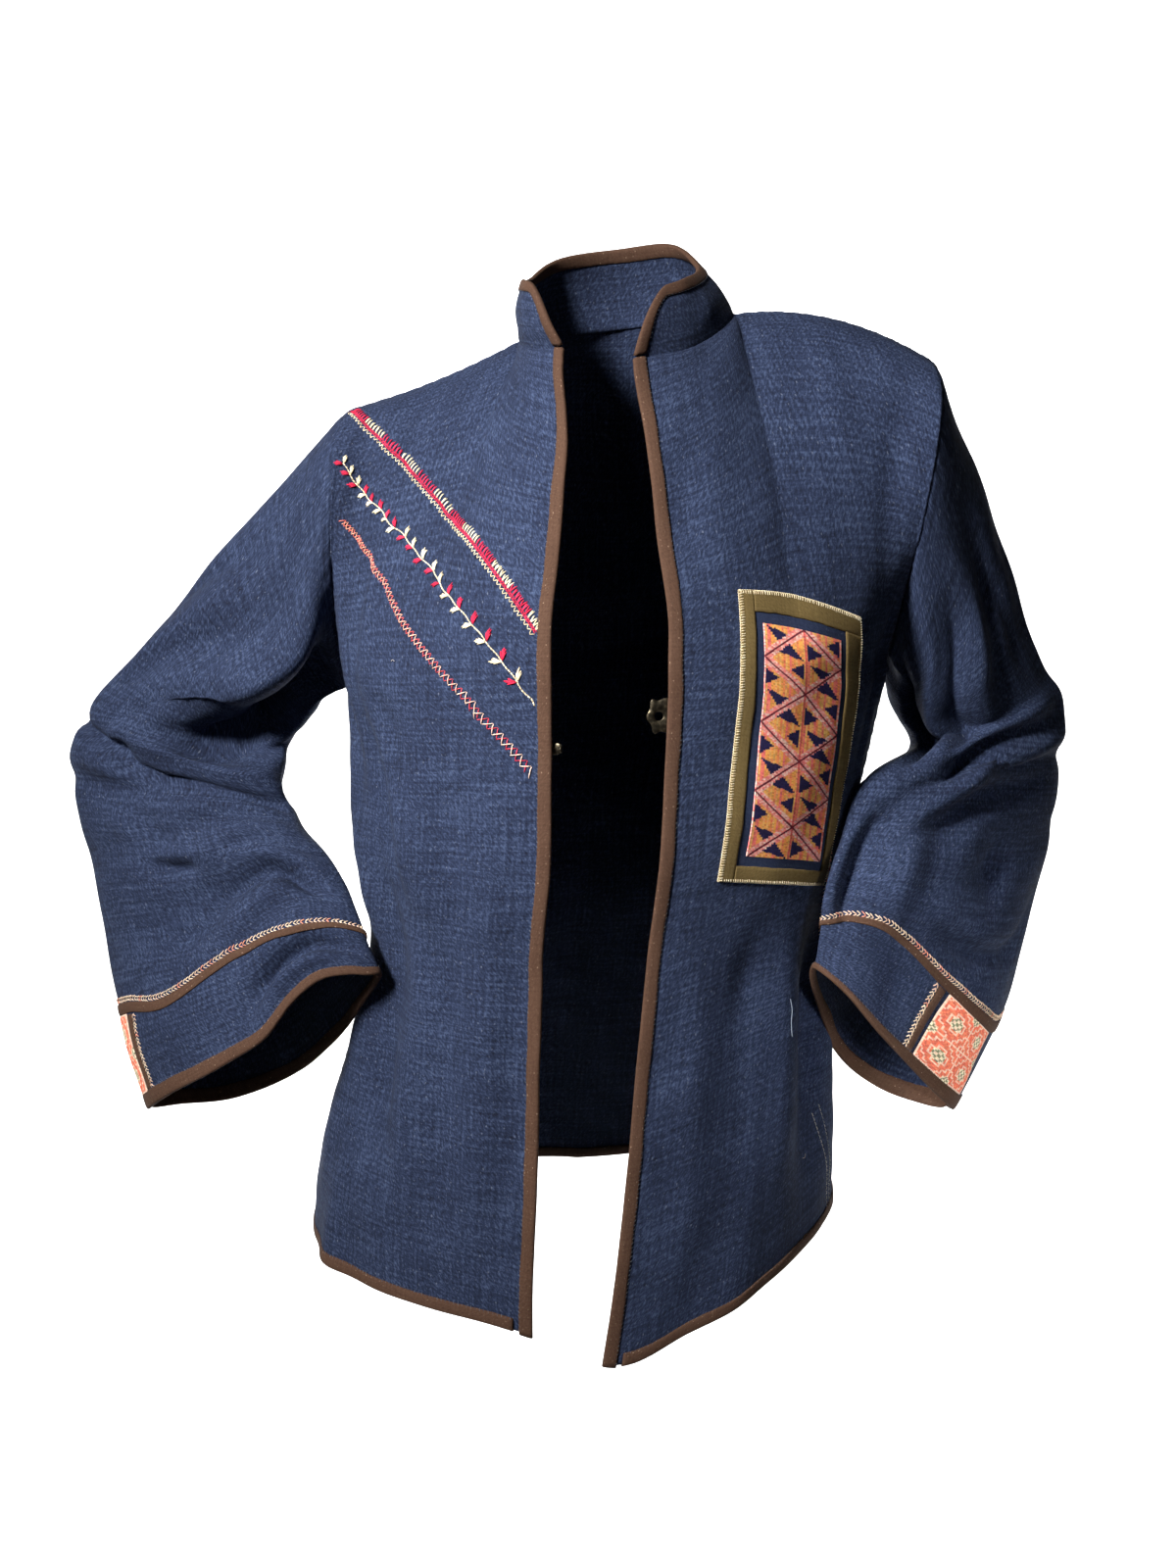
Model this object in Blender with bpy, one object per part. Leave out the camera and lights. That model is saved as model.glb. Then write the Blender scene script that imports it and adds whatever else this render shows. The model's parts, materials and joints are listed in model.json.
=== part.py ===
"""Embroidered jacket of indigo hemp in its worn pose, with the hands-on-hips bend in both sleeves.

Metres, +Z up, front towards -Y, the wearer's left towards +X. The origin is the middle of the neck
hole, where the wearer's shoulders carry the jacket. Each cloth piece is a closed wall of even
thickness between an outer surface, which a function of two parameters gives, and the same surface
moved in along its normals.
"""

import math

import bpy
import numpy as np

# Cloth
WALL = 0.0016              # panels, sleeves and collar
SEAM_GAP = 0.0003          # between two pieces that meet
TRIM_WALL = 0.0010         # binding strips, bands and patches
TRIM_GAP = 0.0005          # between a sewn-on piece and the cloth under it
COLLAR_TRIM_GAP = 0.0010   # where the binding turns the collar's tight corners
PANEL_GAP = 0.0009         # under the wide embroidered panel, whose facets bridge more of the curve
BINDING_WIDTH = 0.0068     # of each leg; the fold over the edge adds about 1.5 mm
BAND_WIDTH = 0.006

# Torso sections, hem to bust: a half ellipse to the front and another to the back, turned about Z
TORSO_SECTIONS = (
    # height, centre x, centre y, half width, front depth, back depth, turn in degrees
    (-0.700, -0.023, 0.000, 0.200, 0.166, 0.118, -1.0),
    (-0.600, -0.019, -0.002, 0.193, 0.156, 0.112, -2.0),
    (-0.500, -0.008, -0.008, 0.176, 0.142, 0.100, -3.0),
    (-0.430, -0.003, -0.010, 0.167, 0.135, 0.092, -4.0),
    (-0.360, -0.003, -0.008, 0.179, 0.138, 0.094, -6.0),
    (-0.300, 0.003, 0.000, 0.187, 0.144, 0.100, -8.0),
    (-0.240, 0.005, 0.008, 0.197, 0.150, 0.106, -9.0),
)

# Hem height round the body, from the middle of the front
HEM_HEIGHTS = (
    # degrees, height
    (-180.0, -0.672),
    (-90.0, -0.662),
    (-45.0, -0.657),
    (-5.0, -0.666),
    (10.0, -0.686),
    (25.0, -0.669),
    (45.0, -0.649),
    (90.0, -0.636),
    (180.0, -0.672),
)

# Front edges: where the cloth of each front ends, from the hem to the collar
FRONT_EDGES = (
    # height, right front x, left front x
    (-0.690, -0.048, 0.000),
    (-0.650, -0.048, 0.006),
    (-0.600, -0.047, 0.012),
    (-0.550, -0.046, 0.017),
    (-0.490, -0.044, 0.022),
    (-0.425, -0.040, 0.028),
    (-0.360, -0.035, 0.035),
    (-0.300, -0.034, 0.038),
    (-0.240, -0.034, 0.040),
    (-0.200, -0.034, 0.041),
    (-0.145, -0.028, 0.034),
    (-0.115, -0.026, 0.031),
    (-0.085, -0.024, 0.027),
    (-0.030, -0.027, 0.020),
)

# Neckline, from the right front round the back of the neck to the left front
NECKLINE = (
    # share of the way, x, y, z
    (-1.00, -0.027, -0.074, -0.027),
    (-0.75, -0.050, -0.038, -0.022),
    (-0.45, -0.055, 0.020, -0.010),
    (0.00, 0.020, 0.064, 0.006),
    (0.45, 0.089, -0.006, 0.003),
    (0.75, 0.058, -0.060, -0.024),
    (1.00, 0.020, -0.080, -0.034),
)
COLLAR_TOP = (
    # share of the way, x, y, z
    (-1.00, -0.041, -0.064, 0.012),
    (-0.75, -0.053, -0.034, 0.020),
    (-0.45, -0.049, 0.014, 0.028),
    (-0.22, -0.030, 0.045, 0.046),
    (0.00, 0.010, 0.056, 0.054),
    (0.22, 0.048, 0.036, 0.054),
    (0.45, 0.064, -0.004, 0.034),
    (0.75, 0.052, -0.046, 0.018),
    (1.00, 0.030, -0.067, 0.009),
)
COLLAR_CORNER = 0.12       # share of the way over which the collar's front corners are rounded
COLLAR_HALF_LENGTH = 0.165
COLLAR_STAND = 0.046
HIGH_SHOULDER = 0.45       # where the shoulder seam meets the neckline, on the same scale
NECK_SHARE = 0.36          # share of a front's top edge that is neckline

UNDERARM = {"right": (-0.192, 0.040, -0.257), "left": (0.201, -0.020, -0.228)}
SHOULDER_TIP = {"right": (-0.182, 0.040, -0.057), "left": (0.218, -0.030, -0.030)}
ARMHOLE_BOW = {"front": 0.045, "back": 0.034}    # how far the armhole bows each way
SHOULDER_BOW = {"right": -0.004, "left": 0.012}   # rise of each shoulder seam above a straight line

# Sleeves: each section runs from its outer fold line to its inner one, and bulges to both sides
SLEEVE_SECTIONS = {
    "right": (
        # outer x, y, z, inner x, y, z, half depth
        (-0.182, 0.040, -0.057, -0.192, 0.040, -0.257, 0.050),
        (-0.223, 0.050, -0.098, -0.205, 0.040, -0.268, 0.048),
        (-0.270, 0.060, -0.146, -0.217, 0.035, -0.280, 0.048),
        (-0.337, 0.075, -0.217, -0.232, 0.030, -0.294, 0.044),
        (-0.394, 0.085, -0.280, -0.236, 0.022, -0.310, 0.040),
        (-0.415, 0.087, -0.318, -0.238, 0.012, -0.328, 0.038),
        (-0.411, 0.080, -0.352, -0.226, 0.000, -0.346, 0.038),
        (-0.396, 0.062, -0.400, -0.202, -0.018, -0.367, 0.038),
        (-0.380, 0.035, -0.462, -0.178, -0.046, -0.396, 0.036),
        (-0.362, 0.009, -0.510, -0.167, -0.063, -0.414, 0.038),
        (-0.338, -0.020, -0.562, -0.156, -0.078, -0.437, 0.040),
    ),
    "left": (
        # outer x, y, z, inner x, y, z, half depth
        (0.218, -0.030, -0.030, 0.201, -0.020, -0.228, 0.050),
        (0.232, -0.018, -0.063, 0.211, -0.020, -0.246, 0.046),
        (0.262, 0.005, -0.135, 0.214, -0.017, -0.262, 0.046),
        (0.299, 0.030, -0.210, 0.220, -0.012, -0.280, 0.044),
        (0.329, 0.048, -0.258, 0.226, -0.014, -0.293, 0.040),
        (0.343, 0.055, -0.296, 0.213, -0.034, -0.296, 0.036),
        (0.346, 0.055, -0.325, 0.183, -0.066, -0.306, 0.032),
        (0.344, 0.046, -0.365, 0.164, -0.086, -0.333, 0.029),
        (0.330, 0.030, -0.415, 0.153, -0.100, -0.362, 0.032),
        (0.306, 0.002, -0.488, 0.147, -0.108, -0.395, 0.036),
        (0.259, -0.025, -0.559, 0.143, -0.113, -0.422, 0.041),
    ),
}
ARMHOLE_BLEND = 0.22       # share of the sleeve over which the armhole's outline fades out
SLEEVE_POINT = 1.75        # exponent of a section: 2 is an ellipse, less is more pointed at its folds

# Largest folds of the sleeves: a line from one place to another, negative height for a trough
SLEEVE_FOLDS = {
    "right": (
        # from: share of length, degrees round; to: share, degrees; half width, height
        (0.44, 5, 0.50, 175, 0.011, 0.007),
        (0.53, 5, 0.55, 178, 0.008, -0.009),
        (0.30, 110, 0.47, 60, 0.012, -0.006),
        (0.36, 150, 0.45, 110, 0.010, -0.006),
        (0.66, 20, 0.62, 100, 0.010, -0.005),
        (0.80, 60, 0.66, 120, 0.011, -0.005),
        (0.45, 320, 0.52, 200, 0.012, -0.006),
        (0.84, 230, 0.98, 260, 0.014, -0.005),
    ),
    "left": (
        # from: share of length, degrees round; to: share, degrees; half width, height
        (0.40, 10, 0.47, 170, 0.011, 0.007),
        (0.49, 10, 0.52, 170, 0.008, -0.008),
        (0.12, 30, 0.44, 45, 0.013, 0.005),
        (0.10, 80, 0.40, 95, 0.012, -0.005),
        (0.60, 15, 0.70, 110, 0.010, -0.005),
        (0.72, 30, 0.82, 60, 0.011, -0.005),
        (0.44, 320, 0.50, 200, 0.012, -0.006),
        (0.84, 230, 0.98, 260, 0.014, -0.005),
    ),
}

# How far along the sleeve each cuff hangs past the plane through its two folds
CUFF_DROP = {
    "right": (
        # degrees round from the outer fold, metres
        (0, 0.003),
        (30, 0.008),
        (60, 0.012),
        (90, 0.0165),
        (105, 0.0150),
        (120, 0.0020),
        (135, -0.0040),
        (150, -0.0005),
        (165, 0.0045),
        (180, 0.0060),
        (225, 0.012),
        (270, 0.026),
        (300, 0.021),
        (330, 0.008),
        (360, 0.003),
    ),
    "left": (
        (0, 0.003),
        (30, 0.006),
        (60, 0.013),
        (90, 0.017),
        (120, 0.015),
        (150, 0.008),
        (180, 0.005),
        (225, 0.010),
        (250, 0.015),
        (275, 0.025),
        (300, 0.023),
        (330, 0.012),
        (360, 0.003),
    ),
}
DROP_STARTS, DROP_ENDS = 0.50, 0.86    # shares of the sleeve over which the drop grows
BODY_PRESS = 0.60          # how much the body flattens the back of a cuff beside it
CUFF_PINCH = {"right": 0.20, "left": 0.60}    # how much a cuff is flattened beside its outer fold

# Distance of the middle of each cuff's band from the cuff edge
CUFF_BAND = {
    "right": (
        # degrees round from the outer fold, metres
        (0, 0.056),
        (45, 0.056),
        (73, 0.0525),
        (86, 0.059),
        (93, 0.065),
        (101, 0.070),
        (109, 0.069),
        (118, 0.0625),
        (128, 0.056),
        (138, 0.053),
        (150, 0.054),
        (165, 0.054),
        (180, 0.050),
        (300, 0.054),
        (360, 0.056),
    ),
    "left": (
        (0, 0.048),
        (60, 0.048),
        (83, 0.056),
        (97, 0.065),
        (115, 0.078),
        (130, 0.084),
        (147, 0.080),
        (170, 0.066),
        (220, 0.056),
        (300, 0.050),
        (360, 0.048),
    ),
}

# Largest folds of the torso: a line from one place on a panel to another
TORSO_FOLDS = (
    # from: degrees round, height; to: degrees, height; half width, height of the fold
    (-62, -0.23, -40, -0.42, 0.014, -0.006),
    (-38, -0.26, -28, -0.50, 0.015, 0.005),
    (-70, -0.42, -40, -0.60, 0.016, -0.006),
    (-58, -0.56, -60, -0.72, 0.018, 0.006),
    (84, -0.27, 78, -0.44, 0.014, -0.006),
    (40, -0.46, 34, -0.70, 0.018, 0.005),
    (72, -0.42, 58, -0.60, 0.016, -0.006),
    (120, -0.26, 150, -0.44, 0.016, -0.006),
    (-120, -0.26, -150, -0.44, 0.016, -0.006),
    (165, -0.46, 158, -0.70, 0.018, 0.006),
    (-150, -0.50, -140, -0.70, 0.018, 0.006),
)

# Colours, linear
INDIGO = (0.040, 0.055, 0.105)
NAVY = (0.016, 0.022, 0.046)
BROWN = (0.150, 0.075, 0.042)
CORAL = (0.600, 0.200, 0.110)
ORANGE = (0.520, 0.180, 0.070)
OLIVE = (0.170, 0.130, 0.055)
DARK_METAL = (0.070, 0.060, 0.045)


def spline(rows, at):
    """Smooth curve through rows whose first column is the knot; the slope at a knot is its neighbours'."""
    rows = np.asarray(rows, float)
    knots, values = rows[:, 0], rows[:, 1:]
    slopes = np.gradient(values, knots, axis=0)
    at = np.clip(at, knots[0], knots[-1])
    i = np.clip(np.searchsorted(knots, at, side="right") - 1, 0, len(knots) - 2)
    width = (knots[i + 1] - knots[i])[..., None]
    t = (at - knots[i])[..., None] / width
    return (
        (2 * t**3 - 3 * t**2 + 1) * values[i]
        + (t**3 - 2 * t**2 + t) * width * slopes[i]
        + (3 * t**2 - 2 * t**3) * values[i + 1]
        + (t**3 - t**2) * width * slopes[i + 1]
    )


def unit(vectors):
    return vectors / np.maximum(np.linalg.norm(vectors, axis=-1, keepdims=True), 1e-12)


def fold_height(folds, across, along, metres_across, metres_along):
    """Sum of soft ridges: each is a bell across its line, and fades over its own half width at the ends."""
    total = 0.0
    for from_along, from_across, to_along, to_across, half_width, height in folds:
        start = np.array([from_along * metres_along, from_across * metres_across])
        end = np.array([to_along * metres_along, to_across * metres_across])
        reach = np.linalg.norm(end - start)
        line = (end - start) / reach
        x = along * metres_along - start[0]
        y = across * metres_across - start[1]
        t = np.clip((x * line[0] + y * line[1]) / reach, 0.0, 1.0)
        gap = np.hypot(x - t * reach * line[0], y - t * reach * line[1])
        total = total + height * np.exp(-((gap / half_width) ** 2)) * np.sin(math.pi * (0.12 + 0.76 * t))
    return total


def torso(angle, height):
    """Point of the torso at an angle from the front, in degrees, and a height."""
    size = spline(TORSO_SECTIONS, height)
    cx, cy, half, front, back, turn = np.moveaxis(size, -1, 0)
    a = np.radians(angle)
    depth = np.where(np.cos(a) > 0, front, back)
    fold = fold_height([(f[1], f[0], f[3], f[2], f[4], f[5]) for f in TORSO_FOLDS],
                       (angle + 180) % 360 - 180, height, math.radians(0.160), 1.0)
    x = (half + fold) * np.sin(a)
    y = -(depth + fold) * np.cos(a)
    turn = np.radians(turn)
    return np.stack([cx + x * np.cos(turn) - y * np.sin(turn),
                     cy + x * np.sin(turn) + y * np.cos(turn),
                     height + 0 * x], -1)


def edge_angle(side, height):
    """Angle at which the torso reaches the x of a front edge."""
    cx, cy, half, front, back, turn = np.moveaxis(spline(TORSO_SECTIONS, height), -1, 0)
    x = spline(FRONT_EDGES, height)[..., 0 if side == "right" else 1]
    turn = np.radians(turn)
    return np.degrees(np.arcsin((x - cx - front * np.sin(turn)) / np.cos(turn) / half))


def panel_angle(side, across, rise):
    """Angle of a place on a panel below the armhole; rise goes from 0 at the hem to 1 at the underarm."""
    sign = -1.0 if side == "right" else 1.0
    if side == "back":
        return -90.0 - 90.0 * (across + 1.0)
    edge = edge_angle(side, -0.685 + 0.44 * np.minimum(rise, 1.0))
    return edge + (sign * 90.0 - edge) * across


def lower(side, across, rise):
    """Panel below the armhole: torso sections between the hem line and the underarm line."""
    angle = panel_angle(side, across, rise)
    around = (angle + 180) % 360 - 180
    hem = spline(HEM_HEIGHTS, around)[..., 0]
    right, left = np.array(UNDERARM["right"]), np.array(UNDERARM["left"])
    top = (right[2] + left[2]) / 2 + (left[2] - right[2]) / 2 * np.sin(np.radians(angle))
    return torso(angle, hem + (top - hem) * rise)


def top_edge(side, across):
    """Neckline and shoulder seam of a panel, from the front edge or from one shoulder to the other."""
    if side == "back":
        reach = np.abs(across)
        sides = np.where(across < 0, -1.0, 1.0)
        neck = spline(NECKLINE, np.clip(across, -HIGH_SHOULDER, HIGH_SHOULDER))
        out = np.clip((reach - HIGH_SHOULDER) / (1 - HIGH_SHOULDER), 0, 1)[..., None]
        tip = np.where((sides < 0)[..., None], SHOULDER_TIP["right"], SHOULDER_TIP["left"])
    else:
        sign = -1.0 if side == "right" else 1.0
        share = np.clip(across / NECK_SHARE, 0, 1)
        neck = spline(NECKLINE, sign * (1 - share * (1 - HIGH_SHOULDER)))
        out = np.clip((across - NECK_SHARE) / (1 - NECK_SHARE), 0, 1)[..., None]
        tip = np.array(SHOULDER_TIP[side])
    line = neck + (tip - neck) * out
    bow = np.where(tip[..., 0] < 0, SHOULDER_BOW["right"], SHOULDER_BOW["left"])
    line[..., 2] += bow * (4 * out * (1 - out))[..., 0]
    return line


def panel(side, across, rise):
    """Whole panel: sections up to rise 1, then a smooth yoke over the shoulder to the seam at rise 2.

    across runs 0 to 1 from the front edge to the side, and -1 to 1 from right to left on the back.
    """
    across, rise = np.broadcast_arrays(np.asarray(across, float), np.asarray(rise, float))
    low = lower(side, across, np.minimum(rise, 1.0))
    t = np.clip(rise - 1.0, 0, 1)[..., None]
    foot = lower(side, across, np.ones_like(rise))
    up = unit(foot - lower(side, across, np.full_like(rise, 0.96)))
    head = top_edge(side, across)
    facing = 1.0 if side != "back" else -1.0
    reach = np.abs(across)[..., None]
    if side == "back":
        neck = np.clip(1 - reach / HIGH_SHOULDER, 0, 1)
        over = np.array([0, -0.12, 0.03]) * (1 - neck) + np.array([0, -0.05, 0.16]) * neck
    else:
        neck = np.clip(1 - reach / NECK_SHARE, 0, 1)
        over = np.array([0, 0.12, 0.03]) * (1 - neck) + np.array([0, 0.07, 0.17]) * neck
    yoke = (
        (2 * t**3 - 3 * t**2 + 1) * foot
        + (t**3 - 2 * t**2 + t) * 0.20 * up
        + (3 * t**2 - 2 * t**3) * head
        + (t**3 - t**2) * over
    )
    bow = ARMHOLE_BOW["back" if side == "back" else "front"]
    yoke[..., 1] -= facing * (bow * reach**3 * 4 * t * (1 - t))[..., 0]
    if side != "back":
        wanted = spline(FRONT_EDGES, yoke[..., 2])[..., 0 if side == "right" else 1]
        pull = np.clip(1 - reach[..., 0] / 0.5, 0, 1) ** 2 * 4 * (t * (1 - t))[..., 0]
        yoke[..., 0] += (wanted - yoke[..., 0]) * np.clip(pull * 1.6, 0, 1) * (reach[..., 0] < 0.5)
    return np.where(t > 0, yoke, low)


def armhole(side, angle):
    """Armhole outline: 0 degrees at the shoulder tip, 180 at the underarm, the front half between."""
    angle = np.asarray(angle, float) % 360
    front = panel(side, np.ones_like(angle), 2 - np.minimum(angle, 180) / 180)
    back = panel("back", np.full_like(angle, -1.0 if side == "right" else 1.0),
                 2 - np.minimum(360 - angle, 180) / 180)
    return np.where((angle <= 180)[..., None], front, back)


def sleeve(side, share, angle):
    """Sleeve surface: share 0 at the armhole to 1 at the cuff, angle from the outer fold to the front."""
    share, angle = np.broadcast_arrays(np.asarray(share, float), np.asarray(angle, float))
    table = np.array(SLEEVE_SECTIONS[side])
    middle = (table[:, :3] + table[:, 3:6]) / 2
    length = np.concatenate([[0], np.cumsum(np.linalg.norm(np.diff(middle, axis=0), axis=1))])
    rows = np.column_stack([length / length[-1], table])
    grown = np.clip((share - DROP_STARTS) / (DROP_ENDS - DROP_STARTS), 0, 1)
    grown = grown**2 * (3 - 2 * grown)

    def section(at, turn):
        values = spline(rows, at)
        outer, inner, depth = values[..., :3], values[..., 3:6], values[..., 6:]
        ahead = spline(rows, np.minimum(at + 0.02, 1.0))
        behind = spline(rows, np.maximum(at - 0.02, 0.0))
        axis = unit((ahead[..., :3] + ahead[..., 3:6]) - (behind[..., :3] + behind[..., 3:6]))
        wide = (outer - inner) / 2
        deep = unit(np.cross(axis, wide))
        deep = np.where(deep[..., 1:2] > 0, -deep, deep)
        c, s = np.cos(np.radians(turn)), np.sin(np.radians(turn))
        power = 2 / SLEEVE_POINT
        pressed = 1 + BODY_PRESS * np.minimum(c, 0) * (s < 0) * grown
        pressed -= CUFF_PINCH[side] * np.maximum(c, 0) ** 3 * grown
        return ((outer + inner) / 2 + wide * (np.sign(c) * np.abs(c) ** (2 - power))[..., None]
                + deep * depth * (pressed * np.sign(s) * np.abs(s) ** power)[..., None])

    point = section(share, angle)
    drop = spline(CUFF_DROP[side], angle % 360)[..., 0] * grown
    point = point + (unit(table[-1, :3] + table[-1, 3:6] - table[-2, :3] - table[-2, 3:6])
                     * drop[..., None])
    fade = np.clip(1 - share / ARMHOLE_BLEND, 0, 1)[..., None] ** 2
    point = point + fade * (armhole(side, angle) - section(np.zeros_like(share), angle))
    centre = spline(rows, share)
    centre = (centre[..., :3] + centre[..., 3:6]) / 2
    fold = fold_height(SLEEVE_FOLDS[side], angle % 360, share, math.radians(0.085), length[-1])
    fold = fold * np.clip(share / 0.08, 0, 1)
    return point + unit(point - centre) * fold[..., None]


def collar(share, height):
    """Stand collar before its corners are cut: height is 0 at the neckline and 1 at the full stand."""
    share, height = np.broadcast_arrays(np.asarray(share, float), np.asarray(height, float))
    base, top = spline(NECKLINE, share), spline(COLLAR_TOP, share)
    height = height[..., None]
    out = unit((base - np.array([0.015, -0.005, 0.0])) * np.array([1, 1, 0]))
    return base + (top - base) * height + out * 0.004 * np.sin(math.pi * height)


def collar_outline(share):
    """Height of the collar's edge: full along the neck, falling in a round to each front corner."""
    near_end = np.clip((1 - np.abs(share)) / COLLAR_CORNER, 0, 1)
    return 0.30 + 0.70 * np.sqrt(np.clip(1 - (1 - near_end) ** 2, 0, 1))


def normals(surface, u, v, step=1e-3):
    """Unit normals of a surface from its slopes along both parameters."""
    along_u = surface(u + step, v) - surface(u - step, v)
    along_v = surface(u, v + step) - surface(u, v - step)
    return unit(np.cross(along_u, along_v))


def smooth_normals(surface, u, v, reference, step=2e-3):
    """Normals of a surface turned to face away from a reference point."""
    found = normals(surface, u, v, step)
    away = surface(u, v) - reference
    flip = np.sum(found * away, -1, keepdims=True) < 0
    return np.where(flip, -found, found)


def material(name, colour, roughness, metallic=0.0):
    made = bpy.data.materials.new(name)
    made.use_nodes = True
    shader = made.node_tree.nodes["Principled BSDF"]
    shader.inputs["Base Color"].default_value = (*colour, 1.0)
    shader.inputs["Roughness"].default_value = roughness
    shader.inputs["Metallic"].default_value = metallic
    made.diffuse_color = (*colour, 1.0)
    return made


def new_object(name, points, faces, finish):
    mesh = bpy.data.meshes.new(name)
    mesh.from_pydata([tuple(p) for p in points], [], faces)
    mesh.update()
    mesh.shade_smooth()
    mesh.set_sharp_from_angle(angle=math.radians(50))
    made = bpy.data.objects.new(name, mesh)
    made.data.materials.append(finish)
    bpy.context.scene.collection.objects.link(made)
    return made


def solid_of_layers(name, layers, finish, ring=False):
    """Closed solid whose cross-section is the polygon of matching points on each station's layers.

    layers is stations x corners x 3; the stations close into a ring, or end in flat caps.
    """
    stations, corners = layers.shape[:2]
    faces = []
    if not ring:
        faces.append(tuple(range(corners)))
        faces.append(tuple(reversed(range((stations - 1) * corners, stations * corners))))
    for i in range(stations if ring else stations - 1):
        j = (i + 1) % stations
        for k in range(corners):
            m = (k + 1) % corners
            faces.append((i * corners + k, j * corners + k, j * corners + m, i * corners + m))
    points = layers.reshape(-1, 3)
    return new_object(name, points, outward(points, faces), finish)


def outward(points, faces):
    """The same faces, turned round if the volume they enclose is negative."""
    volume = 0.0
    for face in faces:
        a = points[face[0]]
        for b, c in zip(face[1:-1], face[2:]):
            volume += np.dot(a, np.cross(points[b], points[c]))
    return faces if volume > 0 else [tuple(reversed(face)) for face in faces]


def wall(name, outer, inner, finish, ring=False):
    """Closed wall between two grids of points; ring joins the last column to the first."""
    rows, columns = outer.shape[:2]
    size = rows * columns
    last = columns if ring else columns - 1
    faces = []
    for i in range(rows - 1):
        for j in range(last):
            k = (j + 1) % columns
            a, b = i * columns + j, i * columns + k
            c, d = b + columns, a + columns
            faces.append((a, b, c, d))
            faces.append((d + size, c + size, b + size, a + size))
    points = np.concatenate([outer.reshape(-1, 3), inner.reshape(-1, 3)])
    rim = []
    for j in range(last):
        k = (j + 1) % columns
        rim.append((j, k))
        rim.append(((rows - 1) * columns + k, (rows - 1) * columns + j))
    if not ring:
        for i in range(rows - 1):
            rim.append(((i + 1) * columns, i * columns))
            rim.append((i * columns + columns - 1, (i + 1) * columns + columns - 1))
    for a, b in rim:
        # two pieces that share a seam split its rim along the same diagonal, by height
        if points[a][2] > points[b][2]:
            faces += [(b, a, b + size), (a, a + size, b + size)]
        else:
            faces += [(b, a, a + size), (b, a + size, b + size)]
    return new_object(name, points, outward(points, faces), finish)


def trim_strip(name, edge, edge_normal, inside, inside_normal, finish, ring=False, gap=TRIM_GAP):
    """Binding: a strip folded over a cloth edge, with a leg down each face of the cloth."""
    inward = unit(inside - edge)
    full = gap + TRIM_WALL
    layers = [
        inside + inside_normal * gap,
        inside + inside_normal * full,
        edge + edge_normal * full - inward * full,
        edge - edge_normal * (WALL + full) - inward * full,
        inside - inside_normal * (WALL + full),
        inside - inside_normal * (WALL + gap),
        edge - edge_normal * (WALL + gap) - inward * gap,
        edge + edge_normal * gap - inward * gap,
    ]
    return solid_of_layers(name, np.stack(layers, 1), finish, ring)


def laid_strip(name, one_side, one_normal, other_side, other_normal, finish, ring=False, gap=TRIM_GAP):
    """Flat strip that lies on a cloth between two lines of its points, each moved out."""
    low, high = gap, gap + TRIM_WALL
    layers = [
        one_side + one_normal * low,
        one_side + one_normal * high,
        other_side + other_normal * high,
        other_side + other_normal * low,
    ]
    return solid_of_layers(name, np.stack(layers, 1), finish, ring)


def panel_normals(side, across, rise):
    points = panel(side, across, rise)
    inside = points * 0
    inside[..., 2] = np.minimum(points[..., 2], -0.20)
    return smooth_normals(lambda u, v: panel(side, u, v), across, rise, inside)


def sleeve_normals(side, share, angle):
    table = np.array(SLEEVE_SECTIONS[side])
    middle = (table[:, :3] + table[:, 3:6]) / 2
    length = np.concatenate([[0], np.cumsum(np.linalg.norm(np.diff(middle, axis=0), axis=1))])
    share, angle = np.broadcast_arrays(np.asarray(share, float), np.asarray(angle, float))
    centre = spline(np.column_stack([length / length[-1], middle]), share)
    along = sleeve(side, share + 0.004, angle) - sleeve(side, share - 0.004, angle)
    round_it = sleeve(side, share, angle + 3.0) - sleeve(side, share, angle - 3.0)
    found = unit(np.cross(along, round_it))
    flip = np.sum(found * (sleeve(side, share, angle) - centre), -1, keepdims=True) < 0
    return np.where(flip, -found, found)


def sleeve_length(side):
    table = np.array(SLEEVE_SECTIONS[side])
    middle = (table[:, :3] + table[:, 3:6]) / 2
    return np.linalg.norm(np.diff(middle, axis=0), axis=1).sum()


# Lines of each panel's grid: across it, and up it
BOUND_COLUMN = 0.036
NECK_COLUMNS = np.array([0.0, BOUND_COLUMN, 0.11, 0.19, 0.27])
SHOULDER_COLUMNS = np.array([0.36, 0.47, 0.58, 0.69, 0.80, 0.90, 1.0])
FRONT_COLUMNS = np.concatenate([NECK_COLUMNS, SHOULDER_COLUMNS])
BACK_HALF = HIGH_SHOULDER + (SHOULDER_COLUMNS - NECK_SHARE) / (1 - NECK_SHARE) * (1 - HIGH_SHOULDER)
BACK_NECK = np.array([0.10, 0.29])
BACK_COLUMNS = np.concatenate([-BACK_HALF[::-1], -BACK_NECK[::-1], BACK_NECK, BACK_HALF])
HEM_ROW = 0.0215
LOWER_ROWS = np.concatenate([[0.0, HEM_ROW], np.linspace(0.09, 1.0, 12)])
ARM_STATIONS = 10
YOKE_ROWS = 1 + np.arange(1, ARM_STATIONS + 1) / ARM_STATIONS
ROWS = np.concatenate([LOWER_ROWS, YOKE_ROWS])
ARM_ROWS = len(LOWER_ROWS) - 1


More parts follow.
